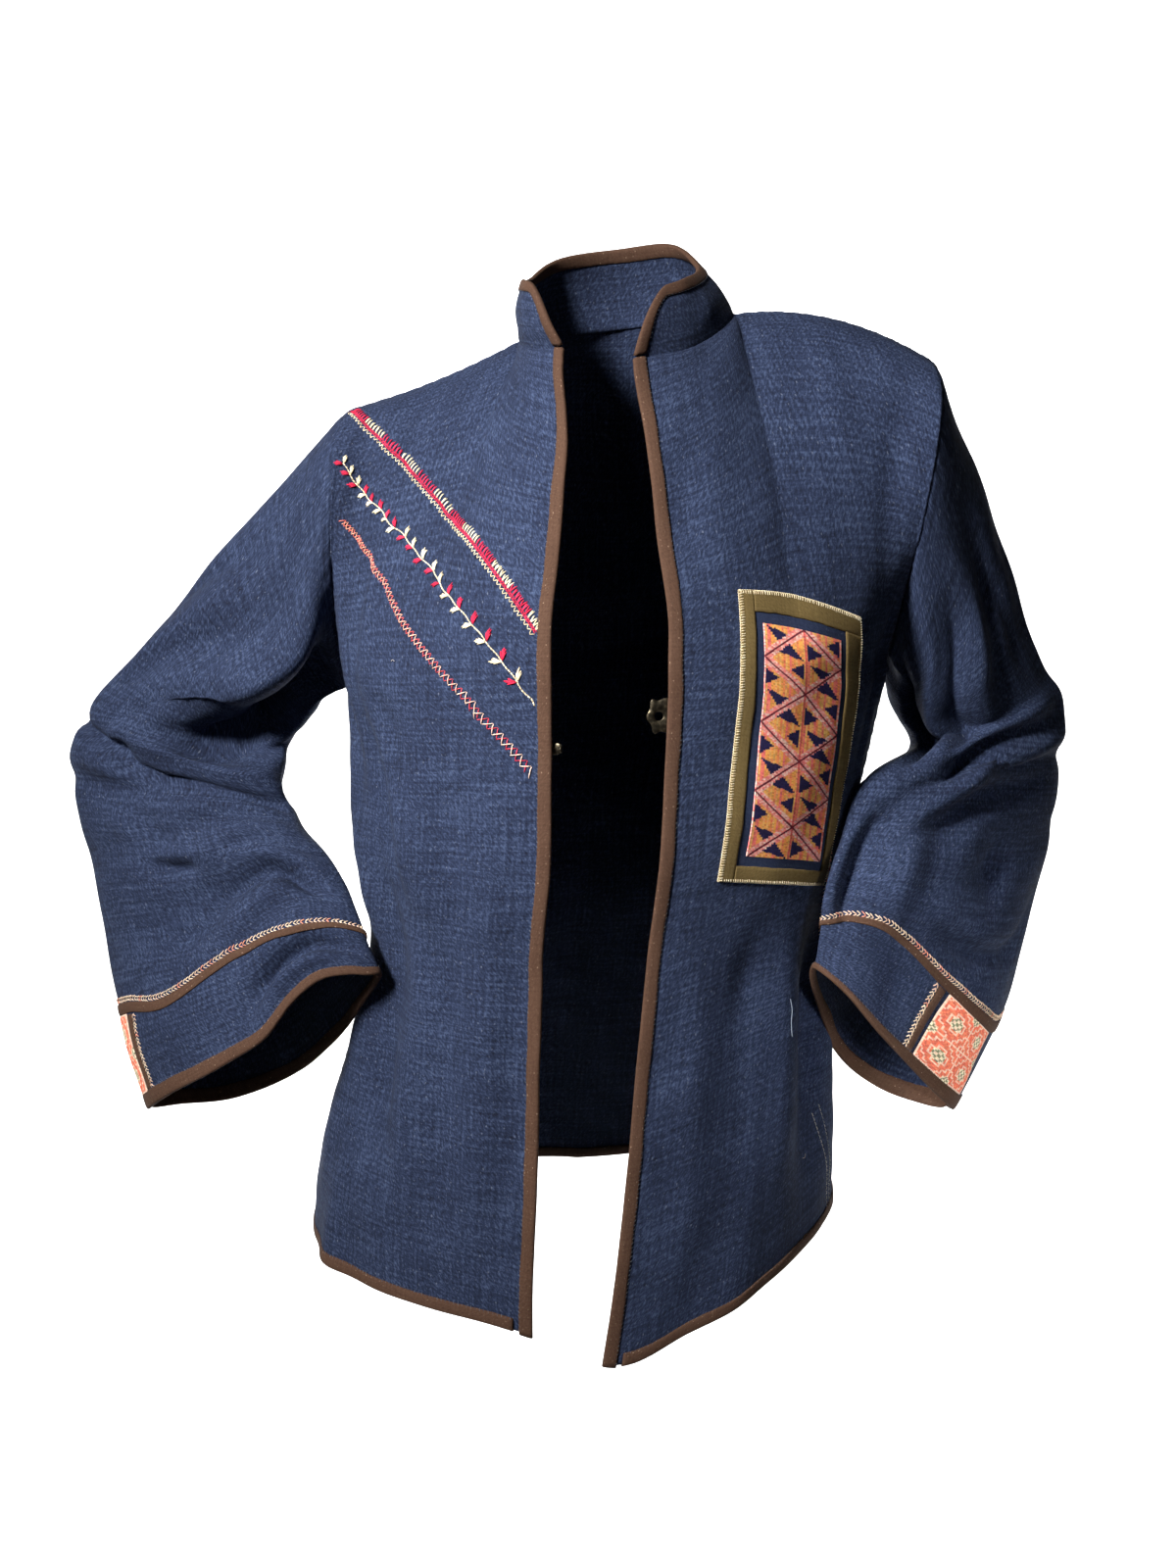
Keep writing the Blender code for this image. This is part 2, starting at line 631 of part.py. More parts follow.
def build_panels(finish):
    """Three panels whose shared seams have one normal, so that their walls meet edge to edge."""
    grids = {}
    for side, columns in (("right", FRONT_COLUMNS), ("left", FRONT_COLUMNS), ("back", BACK_COLUMNS)):
        across, rise = np.meshgrid(columns, ROWS)
        grids[side] = [panel(side, across, rise), panel_normals(side, across, rise)]
    shoulder = len(SHOULDER_COLUMNS)
    for side, edge in (("right", 0), ("left", -1)):
        shared = unit(grids[side][1][:, -1] + grids["back"][1][:, edge])
        grids[side][1][:, -1] = shared
        grids["back"][1][:, edge] = shared
        back_part = slice(0, shoulder) if side == "right" else slice(-shoulder, None)
        step = -1 if side == "right" else 1
        shared = unit(grids[side][1][-1, -shoulder:] + grids["back"][1][-1, back_part][::step])
        grids[side][1][-1, -shoulder:] = shared
        grids["back"][1][-1, back_part] = shared[::step]
    seams = {}
    for side, edge in (("right", 0), ("left", -1)):
        front, behind = grids[side][1], grids["back"][1]
        angles = np.arange(ARM_STATIONS + 1) * 180.0 / ARM_STATIONS
        forward = unit(front[:ARM_ROWS - 1:-1, -1] + sleeve_normals(side, 0.004, angles))
        backward = unit(behind[:ARM_ROWS - 1:-1, edge] + sleeve_normals(side, 0.004, 360.0 - angles))
        for place in (0, -1):
            forward[place] = backward[place] = unit(forward[place] + backward[place])
        front[:ARM_ROWS - 1:-1, -1] = forward
        behind[:ARM_ROWS - 1:-1, edge] = backward
        seams[side] = np.concatenate([forward, backward[-2:0:-1]])
    names = {"right": "front_right", "left": "front_left", "back": "back"}
    for side, (points, facing) in grids.items():
        points = points.copy()
        points[-1] += unit(points[-2] - points[-1]) * SEAM_GAP
        for edge, beside in ((-1, -2), (0, 1)):
            if side == "back" or edge == -1:
                points[:, edge] += unit(points[:, beside] - points[:, edge]) * SEAM_GAP
        wall(names[side], points, points - facing * WALL, finish)
    return grids, seams


def band_edge(side, angle, offset):
    """Share of the sleeve at the band's middle, or at an offset of band widths above it."""
    height = spline(CUFF_BAND[side], angle % 360)[..., 0] + offset * BAND_WIDTH
    return 1 - height / sleeve_length(side)


def build_sleeve(side, seam_normals, cloth, trim, patch):
    """Sleeve, cuff, cuff binding, band, strip and patch of one side."""
    length = sleeve_length(side)
    cuff = 1 - BINDING_WIDTH / length
    angles = np.arange(2 * ARM_STATIONS) * 180.0 / ARM_STATIONS
    low, high = band_edge(side, angles, -0.5), band_edge(side, angles, 0.5)
    upper = [0.0, 0.05, 0.12, 0.20, 0.28, 0.36, 0.42, 0.46, 0.50, 0.54, 0.60, 0.68, 0.75]
    join = len(upper) + 1
    shares = upper + [high, (high + low) / 2, low, (low + cuff) / 2, cuff, 1.0]
    share = np.array([np.broadcast_to(row, angles.shape) for row in shares])
    angle = np.broadcast_to(angles, share.shape)
    points, facing = sleeve(side, share, angle), sleeve_normals(side, share, angle)
    facing[0] = seam_normals
    points[0] += unit(points[1] - points[0]) * SEAM_GAP
    inner = points - facing * WALL
    wall("sleeve_" + side, points[:join + 1], inner[:join + 1], cloth, ring=True)
    # the cuff is cut apart from the sleeve, and the band covers the seam between them
    shift = unit(points[join + 1] - points[join]) * SEAM_GAP
    points[join] += shift
    inner[join] += shift
    wall("cuff_" + side, points[join:], inner[join:], cloth, ring=True)

    def line(at):
        return sleeve(side, at, angles), sleeve_normals(side, at, angles)

    trim_strip("cuff_binding_" + side, *line(1.0), *line(cuff), trim, ring=True)
    laid_strip("cuff_band_" + side, *line(low), *line(high), trim, ring=True)

    def upright(turn, steps=7):
        down = np.linspace(0, 1, steps)
        turn = turn[0] + (turn[1] - turn[0]) * down
        top = band_edge(side, turn, -0.5) + 0.0014 / length
        return top + (cuff - 0.0014 / length - top) * down, turn

    start, end = (upright(turn) for turn in CUFF_STRIP[side])
    laid_strip("cuff_strip_" + side, sleeve(side, *start), sleeve_normals(side, *start),
               sleeve(side, *end), sleeve_normals(side, *end), trim)
    across = np.linspace(0, 1, 7)
    edges = np.array(CUFF_PATCH[side])
    columns = [upright(edges[0] + (edges[1] - edges[0]) * at) for at in across]
    share, angle = np.array(columns).transpose(1, 2, 0)
    points, facing = sleeve(side, share, angle), sleeve_normals(side, share, angle)
    wall("cuff_patch_" + side, points + facing * (TRIM_GAP + TRIM_WALL), points + facing * TRIM_GAP, patch)


# Edges of the brown strip and of the cross-stitch patch of each cuff, in degrees round the sleeve:
# first the one farther from the outer fold, each as (at the band, at the cuff's edge)
CUFF_STRIP = {"right": ((46.3, 44.3), (41.6, 39.6)), "left": ((95.4, 103.6), (92.3, 100.7))}
CUFF_PATCH = {"right": ((40.0, 38.0), (-8.0, -10.0)), "left": ((90.5, 99.0), (55.0, 59.0))}


def build_hem(grids, trim):
    """One binding round the whole hem, between the two front bindings."""
    edge, edge_normal, inside, inside_normal = [], [], [], []
    share = BINDING_WIDTH / (HEM_ROW * 0.42)

    def take(side, column):
        points, facing = grids[side]
        edge.append(points[0, column])
        edge_normal.append(facing[0, column])
        inside.append(points[0, column] + (points[1, column] - points[0, column]) * share)
        inside_normal.append(unit(facing[0, column] + (facing[1, column] - facing[0, column]) * share))

    def take_end(side):
        corner, facing = grids[side][0][:2, 1:3], grids[side][1][0, 1]
        near = corner[:, 0] + unit(corner[:, 1] - corner[:, 0]) * 0.0014
        edge.append(near[0])
        edge_normal.append(facing)
        inside.append(near[0] + (near[1] - near[0]) * share)
        inside_normal.append(facing)

    take_end("right")
    for column in range(2, len(FRONT_COLUMNS)):
        take("right", column)
    for column in range(1, len(BACK_COLUMNS) - 1):
        take("back", column)
    for column in range(len(FRONT_COLUMNS) - 1, 1, -1):
        take("left", column)
    take_end("left")
    trim_strip("hem_binding", *map(np.array, (edge, edge_normal, inside, inside_normal)), trim)


def build_front_binding(side, grids, trim):
    """Binding of one front edge, from just below the hem to the collar."""
    points, facing = grids[side]
    share = BINDING_WIDTH / np.linalg.norm(points[:, 1] - points[:, 0], axis=1)[:, None]
    share = np.minimum(share, 0.95)
    edge, edge_normal = points[:, 0].copy(), facing[:, 0].copy()
    inside = points[:, 0] + (points[:, 1] - points[:, 0]) * share
    inside_normal = unit(facing[:, 0] + (facing[:, 1] - facing[:, 0]) * share)
    down = unit(edge[0] - edge[1]) * 0.0025
    up = unit(edge[-2] - edge[-1]) * 0.0010
    for line in (edge, inside):
        line[0] += down
        line[-1] += up
    trim_strip("front_binding_" + side, edge[::-1], edge_normal[::-1], inside[::-1],
               inside_normal[::-1], trim)


def collar_normals(share, height):
    share = np.clip(share, -0.99, 0.99)
    inside = collar(share, height)
    inside[..., :2] = 0.015, 0.0
    return smooth_normals(collar, share, height, inside, 4e-3)


def build_collar(cloth, trim):
    """Stand collar and the binding that runs up one front corner, along its top and down the other."""
    to_neck = 1 - NECK_COLUMNS[1:] / NECK_SHARE * (1 - HIGH_SHOULDER)
    half = np.concatenate([[1.0], to_neck, [HIGH_SHOULDER], BACK_NECK[::-1]])
    seam = np.concatenate([-half, half[::-1]])
    between = (seam[1:] + seam[:-1]) / 2
    shares = np.sort(np.concatenate([seam, between]))
    rise, share = np.meshgrid([0.0, 0.35, 0.72, 1.0], shares, indexing="ij")
    height = rise * collar_outline(share)
    points = collar(share, height)
    points[0, 1::2] = (points[0, :-2:2] + points[0, 2::2]) / 2
    points[0] += [0, 0, 2 * SEAM_GAP]
    wall("collar", points, points - collar_normals(share, height) * WALL, cloth)

    lift = np.array([0.04, 0.17])
    share = np.concatenate([[-1, -1], shares, [1, 1]])
    height = np.concatenate([lift, collar_outline(shares), lift[::-1]])
    flat = np.stack([share * COLLAR_HALF_LENGTH, height * COLLAR_STAND], -1)
    along = unit(np.gradient(flat, axis=0))
    inner = flat + np.stack([along[:, 1], -along[:, 0]], -1) * BINDING_WIDTH
    inner_share, inner_height = inner[:, 0] / COLLAR_HALF_LENGTH, inner[:, 1] / COLLAR_STAND
    trim_strip("collar_binding", collar(share, height), collar_normals(share, height),
               collar(inner_share, inner_height), collar_normals(inner_share, inner_height), trim,
               gap=COLLAR_TRIM_GAP)


# Embroidered panel of the left front: its corners on the front, as share across and rise
PANEL_CORNERS = ((0.261, 1.237), (0.611, 1.142), (0.665, 0.636), (0.174, 0.707))
PANEL_FIELDS = (
    # name, left, right, top and bottom share of the outer and of the inner edge
    ("panel_olive_border", (0.00, 1.00, 0.00, 1.00), (0.14, 0.87, 0.075, 0.945)),
    ("panel_navy_border", (0.145, 0.865, 0.078, 0.942), (0.21, 0.83, 0.125, 0.915)),
    ("panel_field", (0.215, 0.825, 0.128, 0.912), None),
)


def on_panel(a, b):
    """Point and normal of the left front at a place in the embroidered panel's own square."""
    corner = np.array(PANEL_CORNERS)
    a, b = np.asarray(a, float)[..., None], np.asarray(b, float)[..., None]
    place = ((corner[0] * (1 - a) + corner[1] * a) * (1 - b)
             + (corner[3] * (1 - a) + corner[2] * a) * b)
    return panel("left", place[..., 0], place[..., 1]), panel_normals("left", place[..., 0], place[..., 1])


def outline(box, steps=(5, 9)):
    """Points once round a rectangle of the panel's own square."""
    left, right, top, bottom = box
    a, b = np.linspace(left, right, steps[0]), np.linspace(top, bottom, steps[1])
    across = np.concatenate([a[:-1], np.full(len(b) - 1, right), a[:0:-1], np.full(len(b) - 1, left)])
    down = np.concatenate([np.full(len(a) - 1, top), b[:-1], np.full(len(a) - 1, bottom), b[:0:-1]])
    return across, down


def build_front_panel(finishes):
    for (name, outer, inner), finish in zip(PANEL_FIELDS, finishes):
        if inner is None:
            b, a = np.meshgrid(np.linspace(*outer[2:], 9), np.linspace(*outer[:2], 5), indexing="ij")
            points, facing = on_panel(a, b)
            wall(name, points + facing * (PANEL_GAP + TRIM_WALL), points + facing * PANEL_GAP, finish)
        else:
            laid_strip(name, *on_panel(*outline(outer)), *on_panel(*outline(inner)), finish, True, PANEL_GAP)


CLASP_RISE = {"left": 0.965, "right": 0.925}
CLASP_WALL = 0.0012


def clasp_frame(side):
    """Corner of the clasp: a point of the front edge, and the ways in along the cloth, up and out."""
    rise = CLASP_RISE[side]
    point = panel(side, 0.0, rise)
    inward = unit(panel(side, BOUND_COLUMN, rise) - point)
    out = panel_normals(side, np.array(BOUND_COLUMN / 2), np.array(rise))
    return point, inward, unit(np.cross(out, inward)), out


def build_clasp(finish):
    """Eye plate behind the left edge with its hole clear of it, and a hook behind the right edge."""
    back_face = -(WALL + 2 * TRIM_GAP + TRIM_WALL)
    point, inward, up, out = clasp_frame("left")
    turn = np.radians(np.arange(0, 360, 20.0))
    reach = 0.0078 + 0.0020 * np.cos(3 * turn) ** 2
    stretch = np.where(np.cos(turn) > 0, 1.5, 0.8)
    outer = np.stack([reach * np.cos(turn) * stretch, reach * np.sin(turn) * 1.25], -1)
    hole = 0.0028 * np.stack([np.cos(turn), np.sin(turn)], -1)

    def place(flat, depth):
        return (point + inward * (flat[:, :1] - 0.0062) + up * flat[:, 1:] + out * (back_face - depth))

    layers = [place(outer, 0.0), place(outer, CLASP_WALL), place(hole, CLASP_WALL), place(hole, 0.0)]
    solid_of_layers("clasp_eye", np.stack(layers, 1), finish, ring=True)

    point, inward, up, out = clasp_frame("right")
    path = np.array([(0.0068, 0.0), (-0.0030, 0.0), (-0.0056, 0.0006), (-0.0068, 0.0022), (-0.0060, 0.0036)])
    along = np.gradient(path, axis=0)
    across = np.stack([-along[:, 1], along[:, 0]], -1)
    across /= np.linalg.norm(across, axis=1, keepdims=True)
    half = np.array([0.0042, 0.0036, 0.0028, 0.0024, 0.0018])[:, None]
    if across[0, 1] < 0:
        across = -across

    def spot(flat, height):
        return point + inward * flat[:, :1] + out * (back_face + flat[:, 1:]) + up * height

    thick = path - across * CLASP_WALL
    layers = [spot(path, half), spot(path, -half), spot(thick, -half), spot(thick, half)]
    solid_of_layers("clasp_hook", np.stack(layers, 1), finish)


def build_jacket():
    for old in list(bpy.data.objects):
        bpy.data.objects.remove(old, do_unlink=True)
    cloth = material("indigo_hemp", INDIGO, 0.85)
    trim = material("brown_binding", BROWN, 0.8)
    patch = material("coral_cross_stitch", CORAL, 0.8)
    metal = material("dark_metal", DARK_METAL, 0.45, 0.9)
    grids, seams = build_panels(cloth)
    for side in ("right", "left"):
        build_sleeve(side, seams[side], cloth, trim, patch)
        build_front_binding(side, grids, trim)
    build_collar(cloth, trim)
    build_hem(grids, trim)
    build_front_panel((material("olive_border", OLIVE, 0.85), material("navy_border", NAVY, 0.85),
                       material("orange_field", ORANGE, 0.8)))
    build_clasp(metal)


build_jacket()
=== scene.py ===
"""Indigo hemp jacket with embroidered front, standing open in its worn pose, in a plain studio."""

import json
import math

import bpy
import numpy as np
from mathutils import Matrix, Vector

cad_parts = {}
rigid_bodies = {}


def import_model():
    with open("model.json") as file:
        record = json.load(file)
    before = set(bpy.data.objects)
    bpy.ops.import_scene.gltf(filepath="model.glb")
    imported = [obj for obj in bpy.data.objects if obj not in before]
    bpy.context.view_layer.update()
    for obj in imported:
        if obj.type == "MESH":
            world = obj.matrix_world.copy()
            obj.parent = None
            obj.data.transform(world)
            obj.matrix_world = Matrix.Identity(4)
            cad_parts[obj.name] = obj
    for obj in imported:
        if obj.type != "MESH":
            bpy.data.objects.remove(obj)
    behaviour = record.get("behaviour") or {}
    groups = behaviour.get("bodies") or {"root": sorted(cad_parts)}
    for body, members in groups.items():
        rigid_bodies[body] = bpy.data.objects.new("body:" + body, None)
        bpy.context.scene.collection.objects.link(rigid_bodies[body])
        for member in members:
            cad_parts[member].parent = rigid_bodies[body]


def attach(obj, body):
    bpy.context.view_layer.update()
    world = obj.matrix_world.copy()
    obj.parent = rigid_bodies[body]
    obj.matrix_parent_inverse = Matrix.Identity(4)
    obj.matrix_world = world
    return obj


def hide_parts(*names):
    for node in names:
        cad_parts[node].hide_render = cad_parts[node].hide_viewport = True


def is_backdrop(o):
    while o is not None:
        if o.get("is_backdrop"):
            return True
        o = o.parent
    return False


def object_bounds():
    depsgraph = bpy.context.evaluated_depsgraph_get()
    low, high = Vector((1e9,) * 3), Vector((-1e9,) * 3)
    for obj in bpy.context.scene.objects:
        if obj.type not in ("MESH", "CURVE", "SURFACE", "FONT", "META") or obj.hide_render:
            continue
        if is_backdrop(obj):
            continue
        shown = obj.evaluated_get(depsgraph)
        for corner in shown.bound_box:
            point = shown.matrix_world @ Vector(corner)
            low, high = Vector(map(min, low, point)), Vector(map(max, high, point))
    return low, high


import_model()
cad_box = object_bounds()


# ---- Studio ------------------------------------------------------------------------------------
# A pale paper sweep behind and under the jacket, one broad key lamp high on the wearer's right, a weak
# fill, a small lamp for the left cuff and two for the paper. The camera stands a metre in front.

IMAGE = (1200, 1600)           # pixels across and down
CAMERA_PLACE = (-0.010, -1.0, -0.13)
CAMERA_PITCH = 11.0            # degrees below the horizon
FOCAL_LENGTH = 1425            # in pixels of the image
SENSOR = 36                    # millimetres along the image's long side
FLOOR_HEIGHT = -1.45
SWEEP_RADIUS = 0.8
WALL_DISTANCE = 2.6
PAPER = (0.86, 0.86, 0.86)
LAMPS = (
    # name, place, aim, width, height, watts, spread in degrees
    ("key_lamp", (-1.00, -1.16, 0.72), (0.10, 0.0, -0.34), 0.34, 0.34, 9.6, 60),
    ("fill_lamp", (0.6, -2.4, 0.2), (0.0, 0.0, -0.35), 1.2, 1.2, 0.16, 60),
    ("cuff_lamp", (0.75, -1.10, -0.45), (0.26, -0.08, -0.50), 0.25, 0.25, 0.17, 16),
    ("paper_lamp_left", (-1.3, 1.0, 1.6), (-0.5, 2.4, -0.5), 1.0, 1.0, 75.0, 100),
    ("paper_lamp_right", (1.3, 1.0, 1.6), (0.5, 2.4, -0.5), 1.0, 1.0, 75.0, 100),
)

camera = bpy.data.objects.new("camera", bpy.data.cameras.new("camera"))
camera.location = CAMERA_PLACE
camera.rotation_euler = (math.radians(90 - CAMERA_PITCH), 0, 0)
camera.data.sensor_width = SENSOR
camera.data.lens = FOCAL_LENGTH / IMAGE[1] * SENSOR
camera.data.clip_start = 0.02
bpy.context.scene.collection.objects.link(camera)
bpy.context.scene.camera = camera

for name, place, aim, width, height, watts, spread in LAMPS:
    lamp = bpy.data.objects.new(name, bpy.data.lights.new(name, "AREA"))
    lamp.data.shape = "RECTANGLE"
    lamp.data.size = width
    lamp.data.size_y = height
    lamp.data.energy = watts
    lamp.data.spread = math.radians(spread)
    lamp.location = place
    direction = np.array(aim) - np.array(place)
    lamp.rotation_euler = (math.atan2(math.hypot(direction[0], direction[1]), -direction[2]), 0,
                           math.atan2(direction[1], direction[0]) - math.pi / 2)
    bpy.context.scene.collection.objects.link(lamp)

world = bpy.data.worlds.new("studio_air")
world.use_nodes = True
world.node_tree.nodes["Background"].inputs["Color"].default_value = (0.9, 0.95, 1.0, 1.0)
world.node_tree.nodes["Background"].inputs["Strength"].default_value = 0.016
bpy.context.scene.world = world
bpy.context.scene.view_settings.view_transform = "Standard"


def new_mesh(name, points, quads, finish, colours=None, uv=None):
    """Mesh object of four-cornered faces, with a colour a point and a UV a corner.

    The faces are turned round if the volume they enclose, a sum of tetrahedra, is negative.
    """
    a, b, c, d = np.moveaxis(np.asarray(points, float)[quads], 1, 0)
    volume = np.sum(a * (np.cross(b, c) + np.cross(c, d)))
    if volume < 0:
        quads = quads[:, ::-1]
        uv = None if uv is None else uv[:, ::-1]
    quads = np.ascontiguousarray(quads, np.int32)
    mesh = bpy.data.meshes.new(name)
    mesh.vertices.add(len(points))
    mesh.vertices.foreach_set("co", np.asarray(points, np.float32).ravel())
    mesh.loops.add(quads.size)
    mesh.loops.foreach_set("vertex_index", quads.ravel())
    mesh.polygons.add(len(quads))
    mesh.polygons.foreach_set("loop_start", np.arange(0, quads.size, 4, dtype=np.int32))
    mesh.polygons.foreach_set("use_smooth", np.ones(len(quads), bool))
    if colours is not None:
        layer = mesh.color_attributes.new("thread", "FLOAT_COLOR", "POINT")
        rgba = np.column_stack([colours, np.ones(len(points))])
        layer.data.foreach_set("color", rgba.astype(np.float32).ravel())
    if uv is not None:
        layer = mesh.uv_layers.new(name="cloth")
        layer.data.foreach_set("uv", np.ascontiguousarray(uv, np.float32).ravel())
    mesh.update(calc_edges=True)
    mesh.validate()
    mesh.materials.append(finish)
    made = bpy.data.objects.new(name, mesh)
    bpy.context.scene.collection.objects.link(made)
    return made


paper = bpy.data.materials.new("studio_paper")
paper.use_nodes = True
paper.node_tree.nodes["Principled BSDF"].inputs["Base Color"].default_value = (*PAPER, 1)
paper.node_tree.nodes["Principled BSDF"].inputs["Roughness"].default_value = 0.9
turn = np.linspace(0, math.pi / 2, 13)
sweep_y = np.concatenate([[-6], WALL_DISTANCE - SWEEP_RADIUS + SWEEP_RADIUS * np.sin(turn), [WALL_DISTANCE]])
sweep_z = np.concatenate([[0], SWEEP_RADIUS * (1 - np.cos(turn)), [6]]) + FLOOR_HEIGHT
sweep = np.array([[(x, y, z) for x in (-7, 7)] for y, z in zip(sweep_y, sweep_z)])
row = np.arange(len(sweep_y) - 1) * 2
floor = new_mesh("studio_floor", sweep.reshape(-1, 3), np.stack([row, row + 1, row + 3, row + 2], -1), paper)
floor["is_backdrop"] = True


# ---- Fronts and back ---------------------------------------------------------------------------
# Three panels of hand-woven hemp dyed in indigo, joined at the shoulders and sides. Each hangs from
# the shoulders and carries the long soft folds that the lifted arms pull into it.

CLOTH = 0.0012                 # thickness of the hemp

# Torso sections, hem to bust: a half ellipse to the front and another to the back, turned about Z
TORSO_SECTIONS = (
    # height, centre x, centre y, half width, front depth, back depth, turn in degrees
    (-0.700, -0.023, 0.000, 0.200, 0.166, 0.118, -1.0),
    (-0.600, -0.019, -0.002, 0.193, 0.156, 0.112, -2.0),
    (-0.500, -0.008, -0.008, 0.176, 0.142, 0.100, -3.0),
    (-0.430, -0.003, -0.010, 0.167, 0.135, 0.092, -4.0),
    (-0.360, -0.003, -0.008, 0.179, 0.138, 0.094, -6.0),
    (-0.300, 0.003, 0.000, 0.187, 0.144, 0.100, -8.0),
    (-0.240, 0.005, 0.008, 0.197, 0.150, 0.106, -9.0),
)

# Hem height round the body, from the middle of the front
HEM_HEIGHTS = (
    # degrees, height
    (-180.0, -0.672),
    (-90.0, -0.662),
    (-45.0, -0.657),
    (-5.0, -0.666),
    (10.0, -0.686),
    (25.0, -0.669),
    (45.0, -0.649),
    (90.0, -0.636),
    (180.0, -0.672),
)

# Front edges: where the cloth of each front ends, from the hem to the collar
FRONT_EDGES = (
    # height, right front x, left front x
    (-0.690, -0.048, 0.000),
    (-0.650, -0.048, 0.006),
    (-0.600, -0.047, 0.012),
    (-0.550, -0.046, 0.017),
    (-0.490, -0.044, 0.022),
    (-0.425, -0.040, 0.028),
    (-0.360, -0.035, 0.035),
    (-0.300, -0.034, 0.038),
    (-0.240, -0.034, 0.040),
    (-0.200, -0.034, 0.041),
    (-0.145, -0.028, 0.034),
    (-0.115, -0.026, 0.031),
    (-0.085, -0.024, 0.027),
    (-0.030, -0.027, 0.020),
)

# Neckline, from the right front round the back of the neck to the left front
NECKLINE = (
    # share of the way, x, y, z
    (-1.00, -0.027, -0.074, -0.027),
    (-0.75, -0.050, -0.038, -0.022),
    (-0.45, -0.055, 0.020, -0.010),
    (0.00, 0.020, 0.064, 0.006),
    (0.45, 0.089, -0.006, 0.003),
    (0.75, 0.058, -0.060, -0.024),
    (1.00, 0.020, -0.080, -0.034),
)

HIGH_SHOULDER = 0.45       # where the shoulder seam meets the neckline, on the same scale
NECK_SHARE = 0.36          # share of a front's top edge that is neckline

UNDERARM = {"right": (-0.192, 0.040, -0.257), "left": (0.201, -0.020, -0.228)}
SHOULDER_TIP = {"right": (-0.182, 0.040, -0.057), "left": (0.218, -0.030, -0.030)}
ARMHOLE_BOW = {"front": 0.045, "back": 0.034}    # how far the armhole bows each way
SHOULDER_BOW = {"right": -0.004, "left": 0.012}   # rise of each shoulder seam above a straight line

# Largest folds of the torso: a line from one place on a panel to another
TORSO_FOLDS = (
    # from: degrees round, height; to: degrees, height; half width, height of the fold
    (-62, -0.23, -40, -0.42, 0.014, -0.006),
    (-38, -0.26, -28, -0.50, 0.015, 0.005),
    (-70, -0.42, -40, -0.60, 0.016, -0.006),
    (-58, -0.56, -60, -0.72, 0.018, 0.006),
    (84, -0.27, 78, -0.44, 0.014, -0.006),
    (40, -0.46, 34, -0.70, 0.018, 0.005),
    (72, -0.42, 58, -0.60, 0.016, -0.006),
    (120, -0.26, 150, -0.44, 0.016, -0.006),
    (-120, -0.26, -150, -0.44, 0.016, -0.006),
    (165, -0.46, 158, -0.70, 0.018, 0.006),
    (-150, -0.50, -140, -0.70, 0.018, 0.006),
)


def spline(rows, at):
    """Smooth curve through rows whose first column is the knot; the slope at a knot is its neighbours'."""
    rows = np.asarray(rows, float)
    knots, values = rows[:, 0], rows[:, 1:]
    slopes = np.gradient(values, knots, axis=0)
    at = np.clip(at, knots[0], knots[-1])
    i = np.clip(np.searchsorted(knots, at, side="right") - 1, 0, len(knots) - 2)
    width = (knots[i + 1] - knots[i])[..., None]
    t = (at - knots[i])[..., None] / width
    return (
        (2 * t**3 - 3 * t**2 + 1) * values[i]
        + (t**3 - 2 * t**2 + t) * width * slopes[i]
        + (3 * t**2 - 2 * t**3) * values[i + 1]
        + (t**3 - t**2) * width * slopes[i + 1]
    )


def unit(vectors):
    """Each vector over its own length."""
    return vectors / np.maximum(np.linalg.norm(vectors, axis=-1, keepdims=True), 1e-12)


def walked(points):
    """Distance along a row of points from the first to each of them."""
    return np.concatenate([[0], np.cumsum(np.linalg.norm(np.diff(points, axis=0), axis=1))])


def fold_height(folds, across, along, metres_across, metres_along):
    """Sum of soft ridges: each is a bell across its line, and fades over its own half width at the ends."""
    total = 0.0
    for from_along, from_across, to_along, to_across, half_width, height in folds:
        start = np.array([from_along * metres_along, from_across * metres_across])
        end = np.array([to_along * metres_along, to_across * metres_across])
        reach = np.linalg.norm(end - start)
        line = (end - start) / reach
        x = along * metres_along - start[0]
        y = across * metres_across - start[1]
        t = np.clip((x * line[0] + y * line[1]) / reach, 0.0, 1.0)
        gap = np.hypot(x - t * reach * line[0], y - t * reach * line[1])
        total = total + height * np.exp(-((gap / half_width) ** 2)) * np.sin(math.pi * (0.12 + 0.76 * t))
    return total


def torso(angle, height):
    """Point of the torso at an angle from the front, in degrees, and a height."""
    size = spline(TORSO_SECTIONS, height)
    cx, cy, half, front, back, turn = np.moveaxis(size, -1, 0)
    a = np.radians(angle)
    depth = np.where(np.cos(a) > 0, front, back)
    fold = fold_height([(f[1], f[0], f[3], f[2], f[4], f[5]) for f in TORSO_FOLDS],
                       (angle + 180) % 360 - 180, height, math.radians(0.160), 1.0)
    x = (half + fold) * np.sin(a)
    y = -(depth + fold) * np.cos(a)
    turn = np.radians(turn)
    return np.stack([cx + x * np.cos(turn) - y * np.sin(turn),
                     cy + x * np.sin(turn) + y * np.cos(turn),
                     height + 0 * x], -1)


def edge_angle(side, height):
    """Angle at which the torso reaches the x of a front edge."""
    cx, _, half, front, _, turn = np.moveaxis(spline(TORSO_SECTIONS, height), -1, 0)
    x = spline(FRONT_EDGES, height)[..., 0 if side == "right" else 1]
    turn = np.radians(turn)
    return np.degrees(np.arcsin((x - cx - front * np.sin(turn)) / np.cos(turn) / half))


def panel_angle(side, across, rise):
    """Angle of a place on a panel below the armhole; rise goes from 0 at the hem to 1 at the underarm."""
    sign = -1.0 if side == "right" else 1.0
    if side == "back":
        return -90.0 - 90.0 * (across + 1.0)
    edge = edge_angle(side, -0.685 + 0.44 * np.minimum(rise, 1.0))
    return edge + (sign * 90.0 - edge) * across


